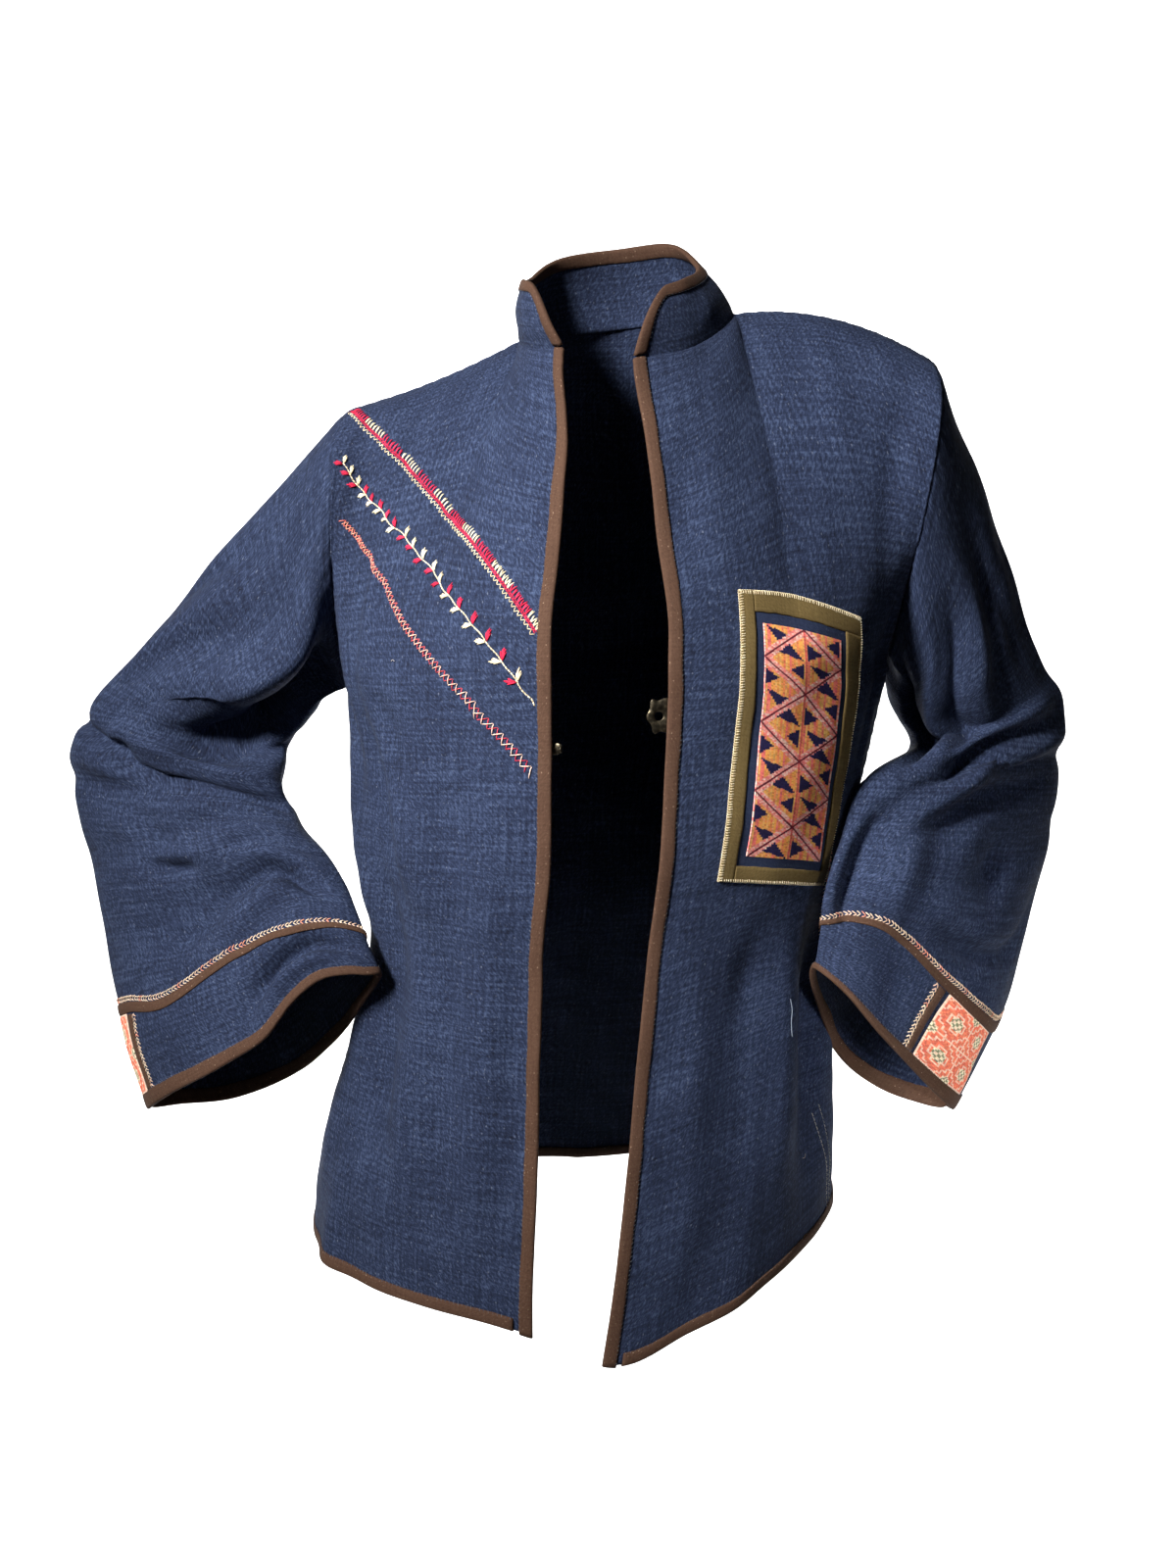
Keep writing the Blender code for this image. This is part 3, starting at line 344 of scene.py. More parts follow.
def lower(side, across, rise):
    """Panel below the armhole: torso sections between the hem line and the underarm line."""
    angle = panel_angle(side, across, rise)
    around = (angle + 180) % 360 - 180
    hem = spline(HEM_HEIGHTS, around)[..., 0]
    right, left = np.array(UNDERARM["right"]), np.array(UNDERARM["left"])
    top = (right[2] + left[2]) / 2 + (left[2] - right[2]) / 2 * np.sin(np.radians(angle))
    return torso(angle, hem + (top - hem) * rise)


def top_edge(side, across):
    """Neckline and shoulder seam of a panel, from the front edge or from one shoulder to the other."""
    if side == "back":
        reach = np.abs(across)
        sides = np.where(across < 0, -1.0, 1.0)
        neck = spline(NECKLINE, np.clip(across, -HIGH_SHOULDER, HIGH_SHOULDER))
        out = np.clip((reach - HIGH_SHOULDER) / (1 - HIGH_SHOULDER), 0, 1)[..., None]
        tip = np.where((sides < 0)[..., None], SHOULDER_TIP["right"], SHOULDER_TIP["left"])
    else:
        sign = -1.0 if side == "right" else 1.0
        share = np.clip(across / NECK_SHARE, 0, 1)
        neck = spline(NECKLINE, sign * (1 - share * (1 - HIGH_SHOULDER)))
        out = np.clip((across - NECK_SHARE) / (1 - NECK_SHARE), 0, 1)[..., None]
        tip = np.array(SHOULDER_TIP[side])
    line = neck + (tip - neck) * out
    bow = np.where(tip[..., 0] < 0, SHOULDER_BOW["right"], SHOULDER_BOW["left"])
    line[..., 2] += bow * (4 * out * (1 - out))[..., 0]
    return line


def yoke(side, across, t):
    """Panel above the armhole's foot: a cubic from the underarm line, at t = 0, to its top edge, at t = 1."""
    foot = lower(side, across, np.ones_like(t))
    up = unit(foot - lower(side, across, np.full_like(t, 0.96)))
    head = top_edge(side, across)
    facing = 1.0 if side != "back" else -1.0
    reach = np.abs(across)[..., None]
    if side == "back":
        neck = np.clip(1 - reach / HIGH_SHOULDER, 0, 1)
        over = np.array([0, -0.12, 0.03]) * (1 - neck) + np.array([0, -0.05, 0.16]) * neck
    else:
        neck = np.clip(1 - reach / NECK_SHARE, 0, 1)
        over = np.array([0, 0.12, 0.03]) * (1 - neck) + np.array([0, 0.07, 0.17]) * neck
    t = t[..., None]
    found = (
        (2 * t**3 - 3 * t**2 + 1) * foot
        + (t**3 - 2 * t**2 + t) * 0.20 * up
        + (3 * t**2 - 2 * t**3) * head
        + (t**3 - t**2) * over
    )
    bow = ARMHOLE_BOW["back" if side == "back" else "front"]
    found[..., 1] -= facing * (bow * reach**3 * 4 * t * (1 - t))[..., 0]
    return found


def panel(side, across, rise):
    """Whole panel: sections up to rise 1, then a smooth yoke over the shoulder to the seam at rise 2.

    across runs 0 to 1 from the front edge to the side, and -1 to 1 from right to left on the back. The
    yoke's front edge is moved onto the table of front edges, and the cloth beside it less and less.
    """
    across, rise = np.broadcast_arrays(np.asarray(across, float), np.asarray(rise, float))
    low = lower(side, across, np.minimum(rise, 1.0))
    t = np.clip(rise - 1.0, 0, 1)
    high = yoke(side, across, t)
    if side != "back":
        edge = yoke(side, np.zeros_like(t), t)
        wanted = spline(FRONT_EDGES, edge[..., 2])[..., 0 if side == "right" else 1]
        fade = np.clip(1 - across / 0.5, 0, 1) ** 2 * np.clip(6.4 * t * (1 - t), 0, 1)
        high[..., 0] += (wanted - edge[..., 0]) * fade
    return np.where(t[..., None] > 0, high, low)


PANEL_WIDTH = 0.215            # metres across a front, from its edge to the side seam
BACK_HALF_WIDTH = 0.225        # metres from the middle of the back to the side seam
PANEL_LOWER = 0.42             # metres from the hem to the underarm
PANEL_YOKE = 0.215             # metres from the underarm to the shoulder seam
SEAM_FADE = 0.014              # folds die out over this distance from a seam
SEAM_DIP = 0.0007
GRID = 0.0030                  # between two points of a cloth's mesh
BACK_GRID = 0.0038

# Creases laid over the panels' own large folds. Negative height is a trough.
PANEL_CREASES = {
    "right": (
        # height, half width on the two sides, sharpness, places along it as (across, rise)
        (-0.0080, 0.010, 0.014, 1.6, ((0.52, 1.02), (0.46, 0.95), (0.43, 0.86))),
        (0.0050, 0.015, 0.013, 2.0, ((0.50, 1.04), (0.45, 0.90), (0.42, 0.72), (0.40, 0.50), (0.41, 0.15))),
        (-0.0045, 0.013, 0.013, 2.0, ((0.30, 0.90), (0.28, 0.68), (0.27, 0.40), (0.29, 0.12))),
        (0.0035, 0.013, 0.012, 2.0, ((0.17, 0.96), (0.16, 0.72), (0.15, 0.38), (0.17, 0.10))),
        (-0.0085, 0.018, 0.018, 2.0, ((0.63, 0.92), (0.58, 0.72), (0.56, 0.45), (0.60, 0.08))),
        (0.0040, 0.016, 0.014, 2.0, ((0.78, 0.90), (0.74, 0.60), (0.76, 0.30), (0.78, 0.05))),
        (-0.0090, 0.016, 0.018, 1.8, ((0.97, 1.16), (0.86, 1.04), (0.76, 0.90), (0.72, 0.72))),
        (-0.0030, 0.012, 0.012, 2.0, ((0.07, 0.62), (0.06, 0.36), (0.07, 0.08))),
        (0.0030, 0.014, 0.012, 2.0, ((0.80, 1.88), (0.70, 1.62), (0.62, 1.40))),
        (-0.0030, 0.012, 0.014, 2.0, ((0.92, 1.80), (0.82, 1.52), (0.76, 1.30), (0.74, 1.12))),
        (-0.0025, 0.014, 0.014, 2.0, ((0.21, 1.76), (0.26, 1.54), (0.37, 1.34))),
    ),
    "left": (
        (-0.0045, 0.014, 0.016, 1.8, ((0.98, 1.20), (0.86, 1.06), (0.78, 0.92), (0.76, 0.78))),
        (0.0040, 0.014, 0.014, 2.0, ((0.88, 0.86), (0.84, 0.62), (0.86, 0.34), (0.88, 0.08))),
        (-0.0075, 0.018, 0.016, 2.0, ((0.68, 0.60), (0.67, 0.40), (0.68, 0.10))),
        (0.0065, 0.015, 0.015, 2.0, ((0.52, 0.58), (0.49, 0.38), (0.47, 0.06))),
        (-0.0040, 0.013, 0.013, 2.0, ((0.34, 0.60), (0.32, 0.36), (0.30, 0.06))),
        (0.0030, 0.012, 0.012, 2.0, ((0.16, 0.58), (0.17, 0.32), (0.16, 0.05))),
        (-0.0035, 0.014, 0.012, 2.0, ((0.94, 1.84), (0.84, 1.58), (0.78, 1.36))),
        (0.0025, 0.014, 0.014, 2.0, ((0.60, 1.90), (0.62, 1.66), (0.66, 1.42))),
        (-0.0020, 0.012, 0.012, 2.0, ((0.15, 1.77), (0.08, 1.51), (0.10, 1.21))),
    ),
    "back": (
        (-0.0050, 0.014, 0.014, 1.8, ((-0.98, 1.10), (-0.84, 1.00), (-0.66, 0.96))),
        (-0.0050, 0.014, 0.014, 1.8, ((0.98, 1.10), (0.84, 1.00), (0.66, 0.94))),
        (-0.0040, 0.015, 0.013, 2.0, ((-0.92, 1.50), (-0.78, 1.24), (-0.70, 1.02), (-0.64, 0.80))),
        (-0.0040, 0.013, 0.015, 2.0, ((0.94, 1.52), (0.80, 1.28), (0.70, 1.04), (0.66, 0.78))),
        (0.0040, 0.015, 0.013, 2.0, ((-0.52, 0.88), (-0.50, 0.56), (-0.54, 0.08))),
        (-0.0045, 0.014, 0.014, 2.0, ((-0.30, 0.80), (-0.28, 0.46), (-0.31, 0.06))),
        (0.0045, 0.015, 0.013, 2.0, ((-0.06, 0.76), (-0.08, 0.44), (-0.05, 0.05))),
        (-0.0040, 0.013, 0.014, 2.0, ((0.17, 0.82), (0.18, 0.48), (0.15, 0.06))),
        (0.0042, 0.014, 0.014, 2.0, ((0.42, 0.90), (0.38, 0.54), (0.41, 0.07))),
        (-0.0042, 0.014, 0.015, 2.0, ((0.64, 0.70), (0.62, 0.40), (0.66, 0.05))),
        (0.0028, 0.016, 0.014, 2.0, ((-0.22, 1.52), (0.02, 1.38), (0.26, 1.50))),
        (-0.0028, 0.014, 0.014, 2.0, ((-0.34, 1.36), (0.02, 1.22), (0.36, 1.34))),
        (0.0030, 0.013, 0.015, 2.0, ((-0.50, 1.20), (-0.04, 1.02), (0.48, 1.18))),
    ),
}


def smooth_line(places, steps=6):
    """The spline through a short list of places, with the given number of steps between two of them."""
    places = np.array(places, float)
    knots = np.arange(len(places))
    return spline(np.column_stack([knots, places]), np.linspace(0, knots[-1], steps * knots[-1] + 1))


def crease_height(creases, x, y, metres):
    """Sum of the creases at places x, y in metres.

    A crease follows a smooth line. Its height is the table's at the line and dies away to each side as
    exp(-(distance / half width) ** sharpness), and it fades as a sine towards both of its ends.
    """
    total = np.zeros(np.broadcast(x, y).shape)
    for height, left_width, right_width, sharpness, places in creases:
        line = np.stack(metres(*smooth_line(places).T), -1)
        reach = 3.0 * max(left_width, right_width)
        near = ((x > line[:, 0].min() - reach) & (x < line[:, 0].max() + reach)
                & (y > line[:, 1].min() - reach) & (y < line[:, 1].max() + reach))
        px, py = x[near], y[near]
        best = np.full(px.shape, 9.0)
        hand = np.zeros(px.shape)
        share = np.zeros(px.shape)
        for step, (start, end) in enumerate(zip(line[:-1], line[1:])):
            way = end - start
            t = np.clip(((px - start[0]) * way[0] + (py - start[1]) * way[1]) / (way @ way), 0, 1)
            gx, gy = px - start[0] - t * way[0], py - start[1] - t * way[1]
            gap = np.hypot(gx, gy)
            closer = gap < best
            best = np.where(closer, gap, best)
            hand = np.where(closer, way[0] * gy - way[1] * gx, hand)
            share = np.where(closer, (step + t) / (len(line) - 1), share)
        width = np.where(hand > 0, left_width, right_width)
        bell = np.exp(-((best / width) ** sharpness)) * np.sin(math.pi * (0.08 + 0.84 * share))
        total[near] += height * bell
    return total


def unevenness(x, y, phase):
    """Slow waves of hand-woven cloth: four sines at odd angles, a few tenths of a millimetre each."""
    return (0.00045 * np.sin(61 * x + 23 * y + phase) + 0.00040 * np.sin(-37 * x + 74 * y + 2 * phase)
            + 0.00025 * np.sin(143 * x - 52 * y + 3 * phase) + 0.00020 * np.sin(95 * x + 171 * y + 5 * phase))


def panel_metres(side, across, rise):
    """A place on a panel in metres: across it, and up from the hem."""
    width = BACK_HALF_WIDTH if side == "back" else PANEL_WIDTH
    return (across * width,
            PANEL_LOWER * np.minimum(rise, 1.0) + PANEL_YOKE * np.clip(rise - 1.0, 0, None))


def panel_normals(side, across, rise):
    """Outward unit normals of a panel: the cross product of its slopes, turned away from the body."""
    step = 2e-3
    along_u = panel(side, across + step, rise) - panel(side, across - step, rise)
    along_v = panel(side, across, rise + step) - panel(side, across, rise - step)
    found = unit(np.cross(along_u, along_v))
    away = panel(side, across, rise)
    away[..., 2] = np.maximum(away[..., 2] + 0.20, 0)
    return np.where(np.sum(found * away, -1, keepdims=True) < 0, -found, found)


def drape(side, across, rise):
    """Outer face of a panel: its large form moved out by creases and slow waves, with a dip at each seam.

    The creases fade towards the seams, where the next panel's edge has to lie on the same line.
    """
    across, rise = np.broadcast_arrays(np.asarray(across, float), np.asarray(rise, float))
    x, y = panel_metres(side, across, rise)
    width = BACK_HALF_WIDTH if side == "back" else PANEL_WIDTH
    to_side = width - np.abs(x)
    to_top = PANEL_LOWER + PANEL_YOKE - y
    seam = np.minimum(to_side, to_top)
    free = 1 - np.exp(-((np.maximum(seam, 0) / SEAM_FADE) ** 2))
    lift = crease_height(PANEL_CREASES[side], x, y, lambda u, v: panel_metres(side, u, v))
    lift = lift + unevenness(x, y, {"right": 0.4, "left": 1.9, "back": 3.1}[side])
    pucker = 0.0004 * np.sin(2 * math.pi * (x + y) / 0.011) * np.exp(-((seam - 0.006) / 0.005) ** 2)
    dip = SEAM_DIP * np.exp(-((np.maximum(seam, 0) / 0.0022) ** 2))
    out = lift * free + pucker - dip
    return panel(side, across, rise) + panel_normals(side, across, rise) * out[..., None]


def grid_normals(points, ring=False):
    """Unit normals of a grid of points from its central differences; a ring's last column joins its first."""
    down = np.gradient(points, axis=0)
    if ring:
        over = np.roll(points, -1, axis=1) - np.roll(points, 1, axis=1)
    else:
        over = np.gradient(points, axis=1)
    return unit(np.cross(over, down))


def sheet_quads(rows, columns, ring=False):
    """Faces of a closed sheet: one grid of points, a second one behind it, and a rim round both."""
    size = rows * columns
    a = (np.arange(rows - 1)[:, None] * columns + np.arange(columns - 1)).ravel()
    outer = np.stack([a, a + 1, a + 1 + columns, a + columns], -1)
    top, side = np.arange(columns - 1), np.arange(rows - 1) * columns
    rim = [np.stack([top + 1, top], -1), np.stack([top, top + 1], -1) + (rows - 1) * columns]
    if not ring:
        rim += [np.stack([side, side + columns], -1), np.stack([side + columns, side], -1) + columns - 1]
    rim = np.concatenate(rim)
    return np.concatenate([outer, outer[:, ::-1] + size, np.column_stack([rim, rim[:, ::-1] + size])])


def cloth_shell(name, points, uv, finish, inward_from, thickness=CLOTH, ring=False):
    """Closed cloth: the outer grid, the same grid moved in by the thickness, and a rim round its edges.

    On a ring the uv grid has one more column than the points, so that the weave runs on over the join.
    """
    facing = grid_normals(points, ring)
    if np.sum(facing * (points - inward_from), -1).mean() < 0:
        facing = -facing
    rows, columns = points.shape[:2]
    wide = uv.shape[1]
    quads = sheet_quads(rows, wide, ring)
    place = (np.arange(rows)[:, None] * columns + np.arange(wide)[None] % columns).ravel()
    place = np.concatenate([place, place + rows * columns])
    both = np.concatenate([points.reshape(-1, 3), (points - facing * thickness).reshape(-1, 3)])
    flat = np.tile(uv.reshape(-1, 2), (2, 1))
    return new_mesh(name, both, place[quads], finish, uv=flat[quads])


def finish_nodes(name, roughness):
    """New material, its node tree and its shader node."""
    made = bpy.data.materials.new(name)
    made.use_nodes = True
    shader = made.node_tree.nodes["Principled BSDF"]
    shader.inputs["Roughness"].default_value = roughness
    shader.inputs["Specular IOR Level"].default_value = 0.25
    return made, made.node_tree, shader


def math_node(tree, operation, first, second=0.0, third=0.0):
    """A Math node on two or three values or sockets; returns its result."""
    node = tree.nodes.new("ShaderNodeMath")
    node.operation = operation
    for socket, value in zip(node.inputs, (first, second, third)):
        if isinstance(value, (int, float)):
            socket.default_value = value
        else:
            tree.links.new(value, socket)
    return node.outputs[0]


def noise_node(tree, vector, scale, detail=2.0, stretch=(1.0, 1.0, 1.0)):
    """Noise at a scale in cycles a metre, stretched along an axis by a factor below one."""
    mapping = tree.nodes.new("ShaderNodeMapping")
    mapping.inputs["Scale"].default_value = [scale * s for s in stretch]
    tree.links.new(vector, mapping.inputs["Vector"])
    node = tree.nodes.new("ShaderNodeTexNoise")
    node.inputs["Scale"].default_value = 1.0
    node.inputs["Detail"].default_value = detail
    tree.links.new(mapping.outputs[0], node.inputs["Vector"])
    return node.outputs["Fac"]


def ramp_node(tree, factor, stops):
    """Colour ramp with stops of (place, linear colour)."""
    node = tree.nodes.new("ShaderNodeValToRGB")
    node.color_ramp.elements.remove(node.color_ramp.elements[1])
    for place, colour in stops:
        element = node.color_ramp.elements.new(place)
        element.color = (*colour, 1.0)
    node.color_ramp.elements.remove(node.color_ramp.elements[0])
    tree.links.new(factor, node.inputs["Fac"])
    return node.outputs["Color"]


def mix_node(tree, factor, first, second):
    """Colour mixed from first to second by the factor."""
    node = tree.nodes.new("ShaderNodeMix")
    node.data_type = "RGBA"
    for name, value in (("Factor_Float", factor), ("A_Color", first), ("B_Color", second)):
        socket = next(s for s in node.inputs if s.identifier == name)
        if isinstance(value, tuple):
            socket.default_value = (*value, 1.0)
        elif isinstance(value, float):
            socket.default_value = value
        else:
            tree.links.new(value, socket)
    return next(s for s in node.outputs if s.identifier == "Result_Color")


def bump_node(tree, shader, height, distance):
    """Bump from a height of 0 to 1 that stands for the given distance in metres."""
    node = tree.nodes.new("ShaderNodeBump")
    node.inputs["Distance"].default_value = distance
    tree.links.new(height, node.inputs["Height"])
    tree.links.new(node.outputs["Normal"], shader.inputs["Normal"])


def woven(name, dark, middle, light, fleck, pitch, roughness=0.92, fleck_share=0.66, contrast=1.0):
    """Hand-woven cloth on the piece's own UV in metres.

    Short slanting dashes, a fine grain, thread streaks along the warp and the weft and a slow cloudiness
    add up to a tone, which a ramp turns into colour. Pale flecks stand where a sparse noise is high.
    """
    made, tree, shader = finish_nodes(name, roughness)
    where = tree.nodes.new("ShaderNodeUVMap")
    where.uv_map = "cloth"
    where = where.outputs["UV"]
    turned = tree.nodes.new("ShaderNodeMapping")
    turned.inputs["Rotation"].default_value = (0, 0, math.radians(38))
    tree.links.new(where, turned.inputs["Vector"])
    dash = noise_node(tree, turned.outputs[0], 0.62 / pitch, 2.0, (1.0, 0.42, 1.0))
    grain = noise_node(tree, where, 1.1 / pitch, 2.0)
    warp = noise_node(tree, where, 0.45 / pitch, 3.0, (1.0, 0.035, 1.0))
    weft = noise_node(tree, where, 0.45 / pitch, 3.0, (0.035, 1.0, 1.0))
    cloudy = noise_node(tree, where, 16.0, 3.0)
    parts = ((dash, 1.10), (grain, 0.55), (warp, 0.50), (weft, 0.60), (cloudy, 0.30))
    tone = 0.0
    for part, weight in parts:
        tone = math_node(tree, "MULTIPLY_ADD", part, weight, tone)
    centre = sum(weight for part, weight in parts) / 2
    tone = math_node(tree, "MULTIPLY_ADD", math_node(tree, "SUBTRACT", tone, centre), contrast, 0.5)
    colour = ramp_node(tree, tone, ((0.0, dark), (0.5, middle), (1.0, light)))
    spot = noise_node(tree, where, 0.55 / pitch, 0.0, (1.0, 0.6, 1.0))
    spot = math_node(tree, "MULTIPLY", math_node(tree, "SUBTRACT", spot, fleck_share), 8.0)
    spot = math_node(tree, "MINIMUM", math_node(tree, "MAXIMUM", spot, 0.0), 0.7)
    tree.links.new(mix_node(tree, spot, colour, fleck), shader.inputs["Base Color"])
    height = math_node(tree, "MULTIPLY_ADD", grain, 0.5, dash)
    height = math_node(tree, "MULTIPLY_ADD", weft, 0.5, height)
    bump_node(tree, shader, height, pitch * 0.30)
    return made


indigo_hemp = woven("indigo_hemp", (0.0028, 0.0044, 0.0128), (0.0136, 0.0214, 0.0510), (0.052, 0.074, 0.140),
                    (0.115, 0.135, 0.190), 0.0008, 0.92, 0.745, 1.35)


def panel_grid(side, step):
    """Parameters of a panel's grid: rows up from the hem and columns across, about a step apart."""
    width = 2 * BACK_HALF_WIDTH if side == "back" else PANEL_WIDTH
    low = np.linspace(0, 1, round(PANEL_LOWER / step) + 1)
    high = 1 + np.linspace(0, 1, round(PANEL_YOKE / step) + 1)[1:]
    return np.meshgrid(np.linspace(-1 if side == "back" else 0, 1, round(width / step) + 1),
                       np.concatenate([low, high]))


def arc_length(points, start):
    """Distance along each row of a grid, counted from one of its columns."""
    gone = np.cumsum(np.linalg.norm(np.diff(points, axis=1, prepend=points[:, :1]), axis=-1), axis=1)
    return gone - gone[:, start:start + 1]


def cloth_face(points, rows, columns):
    """Outer face of a cloth between its grid points, by straight shares, and straight on past an edge."""
    def grid_step(values, x):
        """Number of the grid step that x falls in, and how far along the step it is."""
        i = np.clip(np.searchsorted(values, x, side="right") - 1, 0, len(values) - 2)
        return i, ((x - values[i]) / (values[i + 1] - values[i]))[..., None]

    def face(row, column):
        """Point at a row and a column of the grid, which may lie between its lines."""
        row, column = np.broadcast_arrays(np.asarray(row, float), np.asarray(column, float))
        (i, s), (j, t) = grid_step(rows, row), grid_step(columns, column)
        return ((points[i, j] * (1 - s) + points[i + 1, j] * s) * (1 - t)
                + (points[i, j + 1] * (1 - s) + points[i + 1, j + 1] * s) * t)

    return face


cloth, front = {}, {}
for side, name in (("right", "front_right"), ("left", "front_left"), ("back", "back")):
    across, rise = panel_grid(side, GRID if side != "back" else BACK_GRID)
    points = drape(side, across, rise)
    reach = arc_length(points, 0 if side != "back" else points.shape[1] // 2)
    uv = np.stack([reach, panel_metres(side, across, rise)[1]], -1)
    axis = points * [0, 0, 1] + [0.005, 0, 0]
    axis[..., 2] = np.minimum(axis[..., 2], -0.15)
    cloth[side] = cloth_shell("cloth_" + name, points, uv, indigo_hemp, axis)
    front[side] = cloth_face(points.transpose(1, 0, 2), across[0], rise[:, 0])
    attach(cloth[side], "root")
    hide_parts(name)


# ---- Sleeves -----------------------------------------------------------------------------------
# Wide straight sleeves set into the armholes, each bent at the elbow. The cloth is pinched deep on
# the inside of the bend, and long creases run out from there to the outer fold and to the cuff.

# Sleeves: each section runs from its outer fold line to its inner one, and bulges to both sides
SLEEVE_SECTIONS = {
    "right": (
        # outer x, y, z, inner x, y, z, half depth
        (-0.182, 0.040, -0.057, -0.192, 0.040, -0.257, 0.050),
        (-0.223, 0.050, -0.098, -0.205, 0.040, -0.268, 0.048),
        (-0.270, 0.060, -0.146, -0.217, 0.035, -0.280, 0.048),
        (-0.337, 0.075, -0.217, -0.232, 0.030, -0.294, 0.044),
        (-0.394, 0.085, -0.280, -0.236, 0.022, -0.310, 0.040),
        (-0.415, 0.087, -0.318, -0.238, 0.012, -0.328, 0.038),
        (-0.411, 0.080, -0.352, -0.226, 0.000, -0.346, 0.038),
        (-0.396, 0.062, -0.400, -0.202, -0.018, -0.367, 0.038),
        (-0.380, 0.035, -0.462, -0.178, -0.046, -0.396, 0.036),
        (-0.362, 0.009, -0.510, -0.167, -0.063, -0.414, 0.038),
        (-0.338, -0.020, -0.562, -0.156, -0.078, -0.437, 0.040),
    ),
    "left": (
        # outer x, y, z, inner x, y, z, half depth
        (0.218, -0.030, -0.030, 0.201, -0.020, -0.228, 0.050),
        (0.232, -0.018, -0.063, 0.211, -0.020, -0.246, 0.046),
        (0.262, 0.005, -0.135, 0.214, -0.017, -0.262, 0.046),
        (0.299, 0.030, -0.210, 0.220, -0.012, -0.280, 0.044),
        (0.329, 0.048, -0.258, 0.226, -0.014, -0.293, 0.040),
        (0.343, 0.055, -0.296, 0.213, -0.034, -0.296, 0.036),
        (0.346, 0.055, -0.325, 0.183, -0.066, -0.306, 0.032),
        (0.344, 0.046, -0.365, 0.164, -0.086, -0.333, 0.029),
        (0.330, 0.030, -0.415, 0.153, -0.100, -0.362, 0.032),
        (0.306, 0.002, -0.488, 0.147, -0.108, -0.395, 0.036),
        (0.259, -0.025, -0.559, 0.143, -0.113, -0.422, 0.041),
    ),
}
ARMHOLE_BLEND = 0.22       # share of the sleeve over which the armhole's outline fades out
SLEEVE_POINT = 1.75        # exponent of a section: 2 is an ellipse, less is more pointed at its folds

# Largest folds of the sleeves: a line from one place to another, negative height for a trough
SLEEVE_FOLDS = {
    "right": (
        # from: share of length, degrees round; to: share, degrees; half width, height
        (0.44, 5, 0.50, 175, 0.011, 0.007),
        (0.53, 5, 0.55, 178, 0.008, -0.009),
        (0.30, 110, 0.47, 60, 0.012, -0.006),
        (0.36, 150, 0.45, 110, 0.010, -0.006),
        (0.66, 20, 0.62, 100, 0.010, -0.005),
        (0.80, 60, 0.66, 120, 0.011, -0.005),
        (0.45, 320, 0.52, 200, 0.012, -0.006),
        (0.84, 230, 0.98, 260, 0.014, -0.005),
    ),
    "left": (
        # from: share of length, degrees round; to: share, degrees; half width, height
        (0.40, 10, 0.47, 170, 0.011, 0.007),
        (0.49, 10, 0.52, 170, 0.008, -0.008),
        (0.12, 30, 0.44, 45, 0.013, 0.005),
        (0.10, 80, 0.40, 95, 0.012, -0.005),
        (0.60, 15, 0.70, 110, 0.010, -0.005),
        (0.72, 30, 0.82, 60, 0.011, -0.005),
        (0.44, 320, 0.50, 200, 0.012, -0.006),
        (0.84, 230, 0.98, 260, 0.014, -0.005),
    ),
}

# How far along the sleeve each cuff hangs past the plane through its two folds
CUFF_DROP = {
    "right": (
        # degrees round from the outer fold, metres
        (0, 0.003),
        (30, 0.008),
        (60, 0.012),
        (90, 0.0165),
        (105, 0.0150),
        (120, 0.0020),
        (135, -0.0040),
        (150, -0.0005),
        (165, 0.0045),
        (180, 0.0060),
        (225, 0.012),
        (270, 0.026),
        (300, 0.021),
        (330, 0.008),
        (360, 0.003),
    ),
    "left": (
        (0, 0.003),
        (30, 0.006),
        (60, 0.013),
        (90, 0.017),
        (120, 0.015),
        (150, 0.008),
        (180, 0.005),
        (225, 0.010),
        (250, 0.015),
        (275, 0.025),
        (300, 0.023),
        (330, 0.012),
        (360, 0.003),
    ),
}
DROP_STARTS, DROP_ENDS = 0.50, 0.86    # shares of the sleeve over which the drop grows
BODY_PRESS = 0.60          # how much the body flattens the back of a cuff beside it
CUFF_PINCH = {"right": 0.20, "left": 0.60}    # how much a cuff is flattened beside its outer fold


def middle_steps(side):
    """Distances along a sleeve's middle line from its armhole to each of its sections."""
    table = np.array(SLEEVE_SECTIONS[side])
    return walked((table[:, :3] + table[:, 3:6]) / 2)


SLEEVE_LENGTH = {side: middle_steps(side)[-1] for side in SLEEVE_SECTIONS}


def sleeve_knots(side):
    """Share of the length at each section of a sleeve."""
    return middle_steps(side) / SLEEVE_LENGTH[side]


def armhole(side, angle):
    """Armhole outline: 0 degrees at the shoulder tip, 180 at the underarm, the front half between."""
    angle = np.asarray(angle, float) % 360
    front = panel(side, np.ones_like(angle), 2 - np.minimum(angle, 180) / 180)
    back = panel("back", np.full_like(angle, -1.0 if side == "right" else 1.0),
                 2 - np.minimum(360 - angle, 180) / 180)
    return np.where((angle <= 180)[..., None], front, back)


